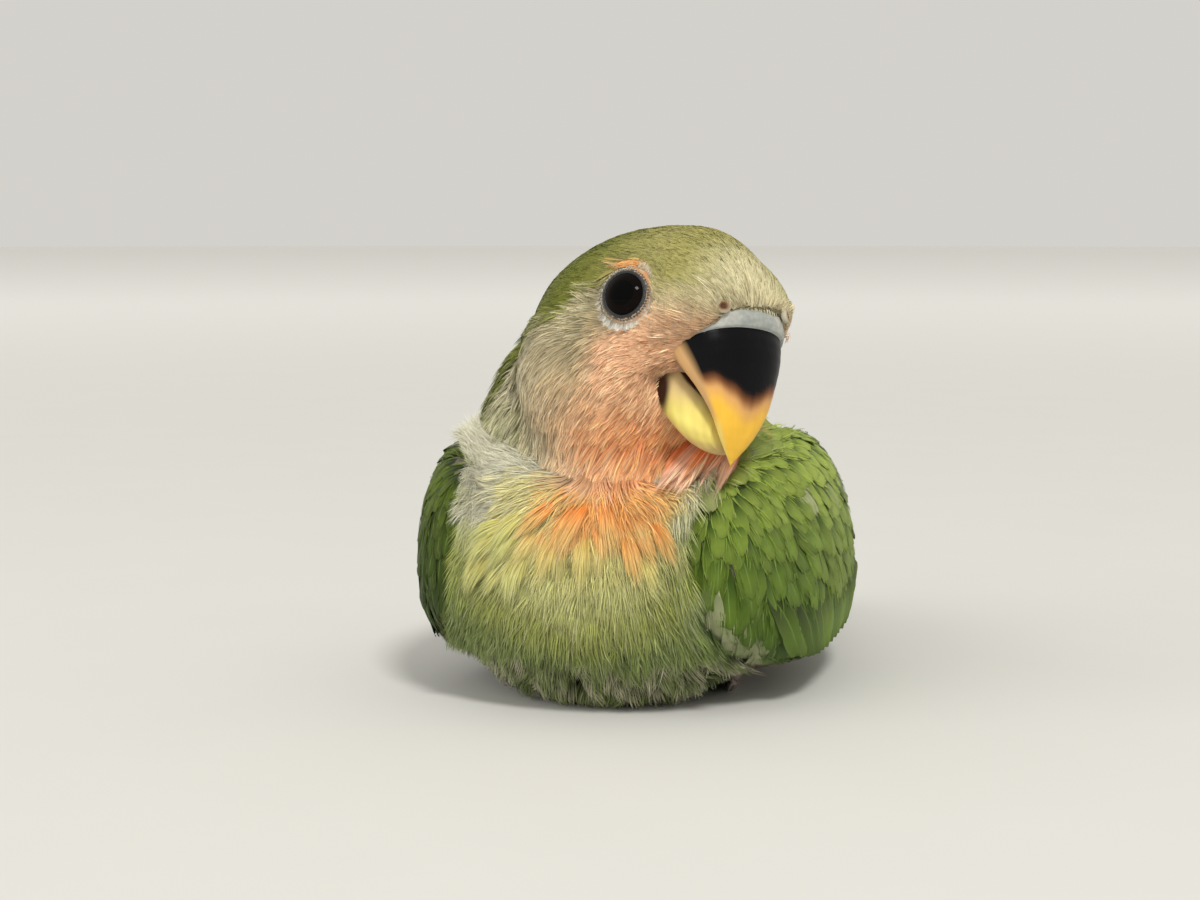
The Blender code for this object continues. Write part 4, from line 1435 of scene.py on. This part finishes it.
def make_head_coat():
    """The crown, the lores, the cheeks and the ruff, each where its weight says, clear of lids and bill."""
    x, y, z = head_view(SKIN_POINTS).T
    near_bill = np.linalg.norm(np.column_stack([x / 7.8, (y + 9.8) / 6.6, (z + 2.0) / 6.8]), axis=1)
    edge = np.interp(y, CROWN_EDGE_Y, CROWN_EDGE_Z)
    from_gape = np.linalg.norm(np.column_stack([np.abs(x) - 6.2, y + 4.4, z + 4.4]), axis=1)
    grows = FACE_GROWTH * (eye_angle(SKIN_POINTS) > LID_END - 0.02) * (near_bill > 0.96) * (from_gape > 0.9)
    reach = np.hypot(y - GAPE_AT[0], z - GAPE_AT[1])
    face = np.maximum(rise(z, -3.5, 0.5) * rise(y, 3, -3), rise(reach, 5.0, 2.0))
    over_ruff = z - np.interp(y, RUFF_EDGE_Y, RUFF_EDGE_Z)
    soft = barb_finish("face_barbs", 0.7, 0.15)

    dice = np.random.default_rng(21)
    on_crown = np.maximum(rise(z - edge, -0.9, -0.1), rise(z, 2.5, 4.5) * rise(y, -5, -8))
    weight = grows * on_crown * (1 + rise(y, -4, -9))
    lie, corner = grown(weight, 9300, 1.35 + 1.8 * rise(y, -7, 10) + 1.8 * rise(y, 11, 19), dice)
    crown = barbs(
        "coat_crown", lie, markings_at(corner), dice, each=7, thread=0.13, half=0.36, fan=(0.8, 1.0, 0.8),
        lift=(0.03, 0.13, 0.08), unwrap=CROWN_UNWRAP, finish=soft, fluff=0.015, stations=3, shade=0.06,
    )

    weight = grows * rise(z - edge, 1.0, 0.2) * face
    lie, corner = grown(weight, 5200, 1.1 + 1.3 * rise(reach, 2, 8), dice, hug=0.9)
    lores = barbs(
        "coat_lores", lie, markings_at(corner), dice, each=7, thread=0.09, half=0.32, fan=(0.8, 1.0, 0.4),
        lift=(0.04, 0.25, 0.25), unwrap=FACE_UNWRAP, finish=soft, fluff=0.07, stations=3, shade=0.13,
        pale=0.15,
    )

    weight = grows * rise(z - edge, 1.2, 0.2) * (1 - 0.93 * face)
    lengths = (2.2 + 3.6 * rise(reach, 2, 14)) * (1 - 0.65 * OVER_WING)
    lie, corner = grown(weight, 4900, lengths, dice, stray=0.13, hug=0.8)
    cheeks = barbs(
        "coat_cheeks", lie, markings_at(corner), dice, each=8, thread=0.13, half=0.52, fan=(0.8, 0.95, 0.15),
        lift=(0.05, 0.50, 0.5), unwrap=FACE_UNWRAP, finish=soft, fluff=0.14, shade=0.14, root_share=0.7,
        pale=0.20,
    )

    weight = grows * rise(over_ruff, 7.0, 3.0) * rise(z - edge, 3.0, 1.0) * (1 - OVER_WING)
    lie, corner = grown(weight, 1500, 5.6, dice, stray=0.16, hug=0.5)
    root, tip = markings_at(corner)
    ruff = barbs(
        "coat_ruff", lie, (root * 0.95, tip * 1.1), dice, each=13, thread=0.13, half=0.50,
        fan=(0.8, 0.95, 0.05), lift=(0.2, 0.9, 0.9), unwrap=FACE_UNWRAP, finish=soft, fluff=0.10, shade=0.16,
        root_share=0.8, pale=0.32,
    )
    make_eye_rings(soft)
    make_cere_feathers(soft)


make_head_coat()

# Coat of the neck, breast and belly
# Long soft feathers over grey down. They fan down and out from the throat, orange at the roots and yellow to
# green at the tips, with loose barbs that part into locks; on the nape the locks are pointed.
BREAST_UNWRAP = (np.array([0, -8.0, 18.0]), np.array([0, -1.0, 0.1]))
BELLY_UNWRAP = (np.array([0, -2.0, 16.0]), np.array([0, 0.0, -1.0]))


def make_bib(loose):
    """Brush-shaped feathers in three rows under the throat, orange at the root and pale yellow at the tip."""
    dice = np.random.default_rng(33)
    rows = ((-9, 8.4, 17, 27.0), (-7.5, 8.6, 15, 25.2), (-6, 8, 11, 23.2))
    across = np.concatenate([np.linspace(start, end, many) for start, end, many, _ in rows])
    high = np.concatenate([np.full(many, level) for _, _, many, level in rows]) - 0.045 * (across - 3) ** 2
    count = len(across)
    high += dice.normal(0, 0.4, count)
    wanted = np.column_stack([across + dice.normal(0, 0.35, count), np.full(count, -33.0), high])
    corner = nearest(SKIN_TREE, wanted)
    lengths = 7.0 * dice.uniform(0.85, 1.2, count)
    lie = Paths.over_skin(SKIN_POINTS[corner], lengths, dice, stray=0.10, steps=6, hug=0.6)
    edge = np.maximum(rise(across, 0.5, -3.5), rise(across, 8, 10))
    edge = np.maximum(edge, rise(high, 24.6, 22.8) * 0.8)
    root = blended((0.80, 0.22, 0.03), (0.58, 0.50, 0.13), edge)
    tip = blended((0.68, 0.48, 0.17), (0.54, 0.55, 0.21), edge)
    bib = barbs(
        "coat_bib", lie, (root, tip), dice, each=100, thread=0.11, half=1.3, fan=(0.08, 0.72, 1.15),
        lift=(1.2, 2.7, 2.9), unwrap=BREAST_UNWRAP, finish=loose, fluff=0.2, shade=0.08, root_share=0.75,
        taper=0.35, pale=0.1,
    )


def make_chin_fan(loose):
    """The chin's far side: pink feathers that fan down behind the tip of the bill, orange close under it."""
    dice = np.random.default_rng(34)
    count = 64
    share = dice.random(count)
    roots = np.outer(1 - share, (16.9, -22.6, 31.2)) + np.outer(share, (12.6, -25.2, 31.4))
    ends = np.outer(1 - share, (16.2, -28.9, 25.8)) + np.outer(share, (8.6, -31.6, 25.4))
    roots += dice.normal(0, 0.35, roots.shape)
    lengths = np.linalg.norm(ends - roots, axis=1) * dice.uniform(0.6, 1.08, count)
    out = np.tile(unit(np.array([0.30, -0.75, 0.55])), (count, 1))
    lie = straight(roots, ends - roots, out, lengths, rise_by=0.04)
    orange = rise(share, 0.35, 0.6) * rise(lengths, 8.5, 7.0)
    root = blended((0.98, 0.42, 0.24), (0.98, 0.22, 0.04), orange)
    tip = blended((0.95, 0.60, 0.42), (0.98, 0.34, 0.11), orange * 0.8)
    fan = barbs(
        "coat_chin_fan", lie, (root, tip), dice, each=30, thread=0.11, half=0.55, fan=(0.6, 1.0, 0.15),
        lift=(0.1, 0.5, 0.5), unwrap=BREAST_UNWRAP, finish=loose, fluff=0.2, shade=0.14, root_share=0.85,
        taper=0.35, pale=0.08,
    )


def make_body_coat():
    x, y, z = SKIN_POINTS.T
    head_y, head_z = head_view(SKIN_POINTS)[:, 1:].T
    body = rise(ON_WING, 0.62, 0.4)
    loose = barb_finish("breast_barbs", 0.75, 0.2)
    dice = np.random.default_rng(31)

    nape = rise(ON_HEAD, 0.75, 0.5) * rise(ON_NECK, 0.2, 0.45) * rise(head_z, -21, -16) * rise(head_y, 8, 15)
    lie, corner = grown(nape, 1230, 4.4, dice, stray=0.25, hug=0.7)
    locks = barbs(
        "coat_nape", lie, markings_at(corner), dice, each=12, thread=0.13, half=0.7, fan=(0.8, 1.0, 0.1),
        lift=(0.2, 1.2, 1.4), unwrap=CROWN_UNWRAP, finish=loose, fluff=0.2, shade=0.14, root_share=0.55,
        pale=0.1,
    )

    aside = rise(np.hypot((x - 3.4) / 8.0, (z - 24.5) / 7.0), 0.8, 1.25)
    shoulder = body * rise(z, 20, 23) * rise(y, -12, -18) * rise(ON_HEAD, 0.4, 0.2) * aside
    shoulder *= rise(FACE_GROWTH, 0.7, 0.2) * rise(z, 34, 31) * (1 - rise(x, 11, 13) * rise(z, 26.5, 28.5))
    lie, corner = grown(shoulder, 1150, 3.6, dice, stray=0.7, hug=0.9)
    tone = np.tile(DOWN_GREY, (len(corner), 1))
    down = barbs(
        "coat_neck_down", lie, (tone * 0.8, tone * 1.15), dice, each=20, thread=0.085, half=1.1,
        fan=(0.4, 1.0, 1.1), lift=(0.1, 1.3, 1.8), unwrap=BREAST_UNWRAP, finish=loose, fluff=0.5, shade=0.08,
        root_share=0.85,
    )

    front = body * rise(y, -10, -16) * rise(z, 8.5, 14) * rise(z, 29.5, 27)
    front = front * (1 - 0.93 * aside * rise(z, 21.5, 24))
    lie, corner = grown(front, 2350, 5.6, dice, stray=0.2, hug=0.75)
    breast = barbs(
        "coat_breast", lie, markings_at(corner), dice, each=16, thread=0.125, half=1.15, fan=(0.3, 1.0, 1.1),
        lift=(0.2, 2.0, 2.3), unwrap=BREAST_UNWRAP, finish=loose, fluff=0.32, shade=0.12, root_share=0.55,
        pale=0.12,
    )

    make_bib(loose)
    make_chin_fan(loose)

    below = body * rise(z, 16, 10) * rise(z, 0.5, 1.4) + 0.5 * rise(ON_LEG, 0.3, 0.6) * rise(z, 1.0, 2.0)
    lie, corner = grown(below, 2350, 5.6 - 1.4 * rise(z, 6, 2), dice, stray=0.32, hug=0.7)
    root, tip = markings_at(corner)
    patch = np.sin(x[corner] * 1.9 + 0.7 * np.sin(z[corner])) * 0.25 + dice.random(len(corner))
    grey = rise(patch, 0.3, 0.65) * rise(z[corner], 15, 11) * 0.85
    tip = blended(tip, BELLY_GREY, grey)
    belly = barbs(
        "coat_belly", lie, (root, tip), dice, each=15, thread=0.125, half=0.95, fan=(0.35, 1.0, 0.7),
        lift=(0.2, 1.5, 1.7), unwrap=BELLY_UNWRAP, finish=loose, fluff=0.34, shade=0.16, root_share=0.5,
        taper=0.35, pale=0.08,
    )


make_body_coat()

# Contour feathers of the wings and back
# Firm vanes with a shaft down the middle and barbs sloping off it, each cambered like a shallow tile. They
# overlap, tips over the next roots, and their edges fray into loose barbs.
VANE_COLUMNS = 7
SIDES = ((1, "left"), (-1, "right"))
WING_UNWRAP = {
    side: (np.array([side * 8.0, 6.0, 17.0]), np.array([side * 1.0, 0, 0.05])) for side, _ in SIDES
}
BACK_UNWRAP = (np.array([0, 4.0, 14.0]), np.array([0, 0.0, 1.0]))


def vane_outline(share, blunt):
    """Half width along a feather, as a share of its widest."""
    flare = 0.45 + 0.55 * rise(share, 0.0, 0.5)
    tip = np.sqrt(np.maximum(1 - (np.maximum(share - blunt, 0) / (1.004 - blunt)) ** 2, 0.0))
    return flare * tip


def vanes(
    name, lie, tints, dice, half, lift, unwrap, finish,
    camber=0.3, blunt=0.62, fluff=0.06, shade=0.08, rows=8,
):
    """A coat piece of whole feathers, each a cambered grid from its root to its rounded tip."""
    count = len(lie.points)
    share = 1 - (1 - np.linspace(0, 1, rows)) ** 1.5
    across = np.linspace(-1, 1, VANE_COLUMNS)
    points, normals, sides = lie.at(np.tile(share, (count, 1)))
    half = np.broadcast_to(half, (count,))[:, None, None]
    fray = 1 + dice.normal(0, 0.05, (count, rows, VANE_COLUMNS)) * (np.abs(across) > 0.9)
    sideways = half * vane_outline(share, blunt)[:, None] * across * fray
    scale = np.minimum(lie.length / lie.length.mean(), 1.3)[:, None, None]
    roll = dice.normal(0, 0.1, (count, 1, 1))
    height = curve_through(*lift, share)[:, None] * scale
    height = height + dice.normal(0, fluff, (count, 1, 1)) * share[:, None]
    height = height - camber * half * across**2 * (0.4 + 0.6 * share[:, None]) + roll * sideways
    height = height + dice.normal(0, 0.02, height.shape)
    grid = points[:, :, None] + sides[:, :, None] * sideways[..., None]
    grid = grid + normals[:, :, None] * np.maximum(height, 0.03)[..., None]
    grid = grid.reshape(-1, 3)
    grid[:, 2] = np.maximum(grid[:, 2], 0.05)

    size = rows * VANE_COLUMNS
    row, column = np.meshgrid(np.arange(rows - 1), np.arange(VANE_COLUMNS - 1), indexing="ij")
    start = (row * VANE_COLUMNS + column).ravel()
    cell = np.column_stack([start, start + VANE_COLUMNS, start + VANE_COLUMNS + 1, start + 1])
    quads = (np.arange(count)[:, None, None] * size + cell).reshape(-1, 4)
    owner = np.repeat(np.arange(count), size)
    level = np.tile(np.repeat(share, VANE_COLUMNS), count)
    side = np.tile(across * 0.5 + 0.5, count * rows)
    colour = blended(tints[0][owner], tints[1][owner], rise(level, 0.2, 0.75))
    colour = np.clip(colour * (1 + dice.normal(0, shade, count))[owner, None], 0.002, 0.95)
    place = unwrapped(lie.points[:, 0], *unwrap)[owner]
    spread_out = np.column_stack([side, level])
    maps = {"OFBake": place + (spread_out - 0.5) * PATCH, "barb": spread_out}
    piece = new_piece(name, grid, [quads], maps, colour, finish)
    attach(piece, "root")
    return piece


def vane_finish(name, light, count=34.0, bars=()):
    """Sloping barbs on both sides of a pale shaft, darker in the furrows, with a rim paler from wear and
    painted light.

    Each bar is the share of the feather's length where a band starts and ends, and its colour.
    """
    finish = Finish(name, Roughness=0.5, Specular_IOR_Level=0.15, Sheen_Weight=0.03, Sheen_Roughness=0.4)
    tint = finish.tint()
    spot = finish.node("UVMap", {"uv_map": "barb"})
    across = abs(finish.axis(spot, "X") - 0.5) * 2
    along = finish.axis(spot, "Y")
    lines = ((along * count - across * (count * 0.22)) * 6.2832).wave()
    soft = finish.noise(1500.0, 3.0)
    shaft = across.rise(0.10, 0.03) * along.rise(0.98, 0.7)
    # Painted rim light along the edges, as well as the pale worn edge.
    rim = across.rise(0.72, 1.0) * 0.07 + along.rise(0.86, 1.0) * 0.06
    for start, end, tone in bars:
        edge = along + soft * 0.03
        band = edge.rise(start - 0.02, start + 0.02) * edge.rise(end + 0.02, end - 0.02)
        tint = finish.mix(band, tint, tone)
    colour = finish.mottled(tint, lines * 0.45 + soft * 0.55, 0.70, 1.18)
    colour = finish.mix(shaft * 0.35, colour, light)
    finish.set(Base_Color=finish.mix(rim, colour, light), Roughness=0.42 + soft * 0.25)
    finish.bump(lines * 0.8 + soft * 0.5 + shaft, 0.00006)
    return finish


def make_wing_coverts():
    """Coverts that are larger further from the shoulder; on the right wing, which lies in shade, their
    colours are darkened as painted shade.
    """
    x, y = SKIN_POINTS[:, :2].T
    from_shoulder = gap_to(SKIN_POINTS, on_own_side(SHOULDER, SKIN_POINTS))
    size = 0.66 + 0.50 * rise(from_shoulder, 6, 24)
    green = vane_finish("wing_vanes", (0.22, 0.36, 0.07))
    loose = barb_finish("wing_barbs", 0.6, 0.03, bleach=0.08)
    for side, word in SIDES:
        dice = np.random.default_rng(41 + side)
        outer = np.maximum(rise(SKIN_NORMALS[:, 0] * side, -0.45, -0.1), rise(y, 14, 20))
        weight = rise(ON_WING, 0.4, 0.6) * (x * side > 2) * outer
        weight *= np.maximum(rise(y, 28, 23), rise(SKIN_NORMALS[:, 0] * side, 0.85, 0.6))
        spots, corner = plant(weight, 26000, dice, gap=1.7 * size)
        length = 6.8 * size[corner] * dice.uniform(0.9, 1.1, len(corner))
        lie = Paths.over_skin(spots, length, dice, stray=0.08, steps=5, hug=0.9)
        root, tip = markings_at(corner)
        # Painted shade: the right wing's root and tip colours are darkened, as that wing lies in shade.
        if side < 0:
            root, tip = root * (0.40, 0.40, 0.25), tip * (0.34, 0.37, 0.20)
        coverts = vanes(
            f"coat_wing_{word}", lie, (root, tip), dice, half=1.5 * size[corner], lift=(0.04, 0.42, 0.65),
            unwrap=WING_UNWRAP[side], finish=green, shade=0.09, camber=0.2,
        )
        rim = barbs(
            f"coat_wing_{word}_barbs", lie, (tip, tip), dice, each=18, thread=0.085, half=1.5 * size[corner],
            fan=(0.7, 1.03, 0.7), lift=(0.04, 0.42, 0.66), unwrap=WING_UNWRAP[side], finish=loose, fluff=0.04,
            stations=3, start=0.9, shade=0.1, rim=True,
        )


def make_back_coat():
    y, z = SKIN_POINTS[:, 1:].T
    green = vane_finish("back_vanes", (0.20, 0.30, 0.08))
    loose = barb_finish("back_barbs", 0.65, 0.15)
    dice = np.random.default_rng(51)
    off_wing = rise(ON_WING, 0.55, 0.4)
    weight = off_wing * rise(ON_HEAD + ON_NECK * 0.3, 0.4, 0.2) * rise(y, -17, -11) * rise(z, 9, 13)
    weight = np.maximum(weight, OVER_WING * off_wing * rise(z, 24, 26))
    spots, corner = plant(weight, 16000, dice, gap=1.7)
    length = (5.6 + 1.2 * rise(spots[:, 1], 0, 24)) * dice.uniform(0.9, 1.1, len(corner))
    lie = Paths.over_skin(spots, length, dice, stray=0.12, steps=5, hug=0.9)
    root, tip = markings_at(corner)
    back = vanes(
        "coat_back", lie, (root, tip), dice, half=1.35, lift=(0.06, 0.9, 1.5), unwrap=BACK_UNWRAP,
        finish=green,
    )
    rim = barbs(
        "coat_back_barbs", lie, (tip, tip * 1.12), dice, each=26, thread=0.11, half=1.4, fan=(0.6, 1.05, 0.9),
        lift=(0.06, 0.9, 1.55), unwrap=BACK_UNWRAP, finish=loose, fluff=0.14, stations=3, start=0.85,
        rim=True,
    )


make_wing_coverts()
make_back_coat()

# Flight feathers and tail
# Long firm dark vanes that lie along the folded wings and under each other, green at their tips. Twelve short
# tail feathers lie in one flat fan, green with a dark bar, as a fledgling's are half grown.
FLIGHT_FEATHERS = 18
PRIMARIES = 10
TAIL_FEATHERS = 12
WING_ROWS = (
    (-31, 12.8, 18.6, 0, 0, 3), (-28, 15, 18, 8.8, 4.8, 3), (-16, 18.1, 17.9, 13.6, 7.2, 4),
    (-1, 18.5, 17.8, 13.9, 7.2, 6), (13, 16.5, 17.6, 12.4, 6.6, 13), (27, 12.4, 16.6, 9.4, 4.4, 26),
    (39, 8.4, 13.6, 5.6, 2.2, 38), (48, 5.8, 10.8, 2.4, 1, 44), (51, 5, 10, 0, 0, 46),
)
TAIL_ROWS = (
    (24, 5, 3.6, 10.5, 0), (34, 8, 2.8, 8, 0.4), (46, 9.2, 1.5, 5.2, 1.4), (55, 9, 0.9, 3.4, 2.5),
    (60.5, 7, 0.7, 2.5, 3.2), (63, 3.4, 0.6, 2.2, 3.6),
)


def wing_face(side, y, height, out):
    """Places on a folded wing's outer face, and the ways out, from how far back and how high they are."""
    rows = spline_rows(WING_ROWS, 90)
    x, z, half, thick, lean = (np.interp(y, rows[:, 0], rows[:, k]) for k in range(1, 6))
    lean = np.radians(lean)
    up = np.stack([-side * np.sin(lean), 0 * y, np.cos(lean)], axis=-1)
    across = np.stack([side * np.cos(lean), 0 * y, np.sin(lean)], axis=-1)
    bulge = thick * (1 - np.minimum(np.abs(height), 0.98) ** 2.2) ** (1 / 2.2)
    middle = np.stack([side * x, y, z], axis=-1)
    places = middle + up * (half * height)[..., None] + across * (bulge + out)[..., None]
    return places, unit(across * 0.8 + up * (height * 0.75)[..., None])


def laid(places, normals):
    """Paths through given places, with their own way sideways."""
    ahead = unit(np.gradient(places, axis=1))
    normals = unit(normals - ahead * (normals * ahead).sum(axis=-1, keepdims=True))
    return Paths(places, normals, np.cross(ahead, normals))


def make_flight_feathers():
    bars = ((0.0, 0.86, (0.028, 0.048, 0.014)),)
    dark = vane_finish("flight_vanes", (0.10, 0.16, 0.05), count=90.0, bars=bars)
    steps = np.linspace(0, 1, 9)
    for side, word in SIDES:
        dice = np.random.default_rng(61 + side)
        places, normals = [], []
        for number in range(FLIGHT_FEATHERS):
            if number < PRIMARIES:
                begin, end = 16 - 0.1 * number, 50.0 - 1.9 * number
                low, high = -0.78 + 0.06 * number, -0.30 + 0.09 * number
            else:
                order = number - PRIMARIES
                begin, end = 14.0, 41.0 - 1.7 * order
                low, high = -0.15 + 0.1 * order, 0.10 + 0.1 * order
            y = begin + (end - begin) * steps
            height = low + (high - low) * steps
            out = np.interp(y, (10, 20, 30, 40, 50), (-2.6, -2.4, -1.5, -0.3, -0.05)) + 0.035 * number
            place, normal = wing_face(side, y, height, out)
            places.append(place)
            normals.append(normal)
        lie = laid(np.array(places), np.array(normals))
        green = np.tile(WING_GREEN, (FLIGHT_FEATHERS, 1)) * 0.9
        half = np.where(np.arange(FLIGHT_FEATHERS) < PRIMARIES, 1.9, 2.3)
        flight = vanes(
            f"coat_flight_{word}", lie, (green * 0.5, green), dice, half=half, lift=(0.0, 0.1, 0.12),
            unwrap=WING_UNWRAP[side], finish=dark, camber=0.12, blunt=0.80, fluff=0.02, rows=20,
        )


def make_long_coverts():
    """The longest coverts, broad and rounded, whose tips step along the folded wing's lower edge."""
    green = vane_finish("long_covert_vanes", (0.22, 0.36, 0.07), count=60.0)
    steps = np.linspace(0, 1, 8)
    for side, word in SIDES:
        dice = np.random.default_rng(65 + side)
        count = 16
        places, normals = [], []
        for number in range(count):
            y = -17.0 + 2.3 * number - 8.0 * (1 - steps) + dice.normal(0, 0.25)
            root_out = -1.0 if side > 0 else -1.5
            place, normal = wing_face(side, y, -0.30 - 0.60 * steps, root_out + 0.9 * steps)
            place[-2:] = place[-3] + np.outer((1, 2), place[-3] - place[-4])
            normal[-2:] = normal[-3]
            places.append(place)
            normals.append(normal)
        lie = laid(np.array(places), np.array(normals))
        # Painted shade: the right wing's long coverts are darkened.
        shade = 1.0 if side > 0 else 0.36
        tone = blended((0.13, 0.23, 0.02), WING_LIGHT, dice.uniform(0, 0.3, count)) * shade
        coverts = vanes(
            f"coat_long_coverts_{word}", lie, (tone * 0.35, tone), dice, half=1.7, lift=(0.0, 0.25, 0.3),
            unwrap=WING_UNWRAP[side], finish=green, camber=0.3, blunt=0.7, fluff=0.08, shade=0.16, rows=12,
        )


def make_tail():
    rows = spline_rows(TAIL_ROWS, 60)
    steps = np.linspace(0, 1, 10)
    places = []
    for share in np.linspace(-1, 1, TAIL_FEATHERS):
        tip = 62.4 - 5.5 * abs(share) ** 1.6
        y = 27 + (tip - 27) * steps
        half, thick, z, x = (np.interp(y, rows[:, 0], rows[:, k]) for k in range(1, 5))
        cover = 0.9 * thick * (1 - abs(share)) - 0.4 * thick
        places.append(np.stack([x + share * (half - 1.9), y, z + cover], axis=-1))
    places = np.array(places)
    lie = laid(places, np.broadcast_to((0, 0, 1.0), places.shape))
    bars = ((0.0, 0.30, (0.62, 0.16, 0.05)), (0.66, 0.76, (0.02, 0.022, 0.018)))
    finish = vane_finish("tail_vanes", (0.24, 0.34, 0.12), count=90.0, bars=bars)
    green = np.tile((0.12, 0.24, 0.06), (TAIL_FEATHERS, 1))
    dice = np.random.default_rng(71)
    fans = vanes(
        "tail_feathers", lie, (green * 0.8, green * 1.1), dice, half=2.3, lift=(0.0, 0.12, 0.1),
        unwrap=BACK_UNWRAP, finish=finish, camber=0.14, blunt=0.84, fluff=0.02, rows=22,
    )
    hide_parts("tail")


def make_tail_coverts():
    """Soft feathers round the root of the tail, blue above and green below."""
    dice = np.random.default_rng(72)
    count = 150
    turn = dice.uniform(0, 2 * math.pi, count)
    start = dice.uniform(19, 33, count)
    rows = spline_rows(TAIL_ROWS, 60)
    spots, normals = [], []
    for share in np.linspace(0, 1, 5):
        y = start + share * (12 + 1.5 * np.sin(turn))
        half, thick, z, x = (np.interp(y, rows[:, 0], rows[:, k]) for k in range(1, 5))
        wide, tall = half * 0.86 + 1.2 * (1 - share), np.maximum(thick, 1.2) + 1.4 * (1 - share)
        level = np.maximum(z + tall * np.sin(turn), 0.8)
        spots.append(np.stack([x + wide * np.cos(turn), y, level], axis=-1))
        normals.append(unit(np.stack([np.cos(turn) / wide, 0 * y, np.sin(turn) / tall], axis=-1)))
    lie = laid(np.stack(spots, axis=1), np.stack(normals, axis=1))
    above = rise(np.sin(turn), 0.1, 0.5)
    tone = blended((0.16, 0.26, 0.07), RUMP_BLUE, above)
    finish = vane_finish("tail_covert_vanes", (0.25, 0.42, 0.40))
    coverts = vanes(
        "coat_tail_coverts", lie, (tone * 0.6, tone), dice, half=1.7, lift=(0.05, 0.4, 0.3),
        unwrap=BACK_UNWRAP, finish=finish,
    )


make_flight_feathers()
make_long_coverts()
make_tail()
make_tail_coverts()

# Feet and claws
# Bare scaly feet, two toes forward and two back, tucked under the belly, with a dark curved claw on each toe.
# The skin is one closed piece for each foot, and small scutes stand on its upper side.
TOE_NAMES = ("inner", "middle", "outer", "hind")
SCUTE_GAP = 0.62


def smooth_copy(name, node, voxel, rounds, finish):
    """A smooth closed copy of a solid, in its own place."""
    points, quads = remeshed(*node_shape(node, 0.0), voxel)
    points = spread(points, edges_of(quads), rounds, 0.4)
    points[:, 2] = np.maximum(points[:, 2], 0.02)
    piece = new_piece(name, points, [quads], finish=finish)
    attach(piece, "root")
    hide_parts(node)
    return piece, points, quads


def make_feet():
    hide = Finish("foot_hide", Roughness=0.6, Specular_IOR_Level=0.3)
    sockets = {"Vector": hide.place(), "Scale": 1300.0}
    crack = hide.node("TexVoronoi", {"feature": "DISTANCE_TO_EDGE"}, sockets).rise(0.0, 0.09)
    hide.set(Base_Color=hide.mix(crack, (0.17, 0.12, 0.10), (0.42, 0.32, 0.28)))
    hide.bump(crack, 0.00008)
    horn = Finish("claw_horn_dark", Roughness=0.32, Specular_IOR_Level=0.3)
    streaks = horn.noise(1400.0, 3.0, (1.0, 0.25, 1.0))
    horn.set(Base_Color=horn.mix(streaks, (0.035, 0.028, 0.024), (0.12, 0.095, 0.08)))
    dice = np.random.default_rng(81)
    for word in ("left", "right"):
        skin, points, quads = smooth_copy(f"foot_{word}_skin", f"foot_{word}", 0.22, 4, hide)
        normals = normals_of(points, quads)
        top = np.flatnonzero(normals[:, 2] > 0.35)
        order = dice.permutation(top)[:2600]
        order = order[apart(points[order], np.full(len(order), SCUTE_GAP))]
        scutes = studs(f"foot_{word}_scutes", points[order], normals[order], 0.30, 0.10, 9, hide)
        for toe in TOE_NAMES:
            claw, _, _ = smooth_copy(f"claw_{toe}_{word}_horn", f"claw_{toe}_{word}", 0.11, 5, horn)


make_feet()
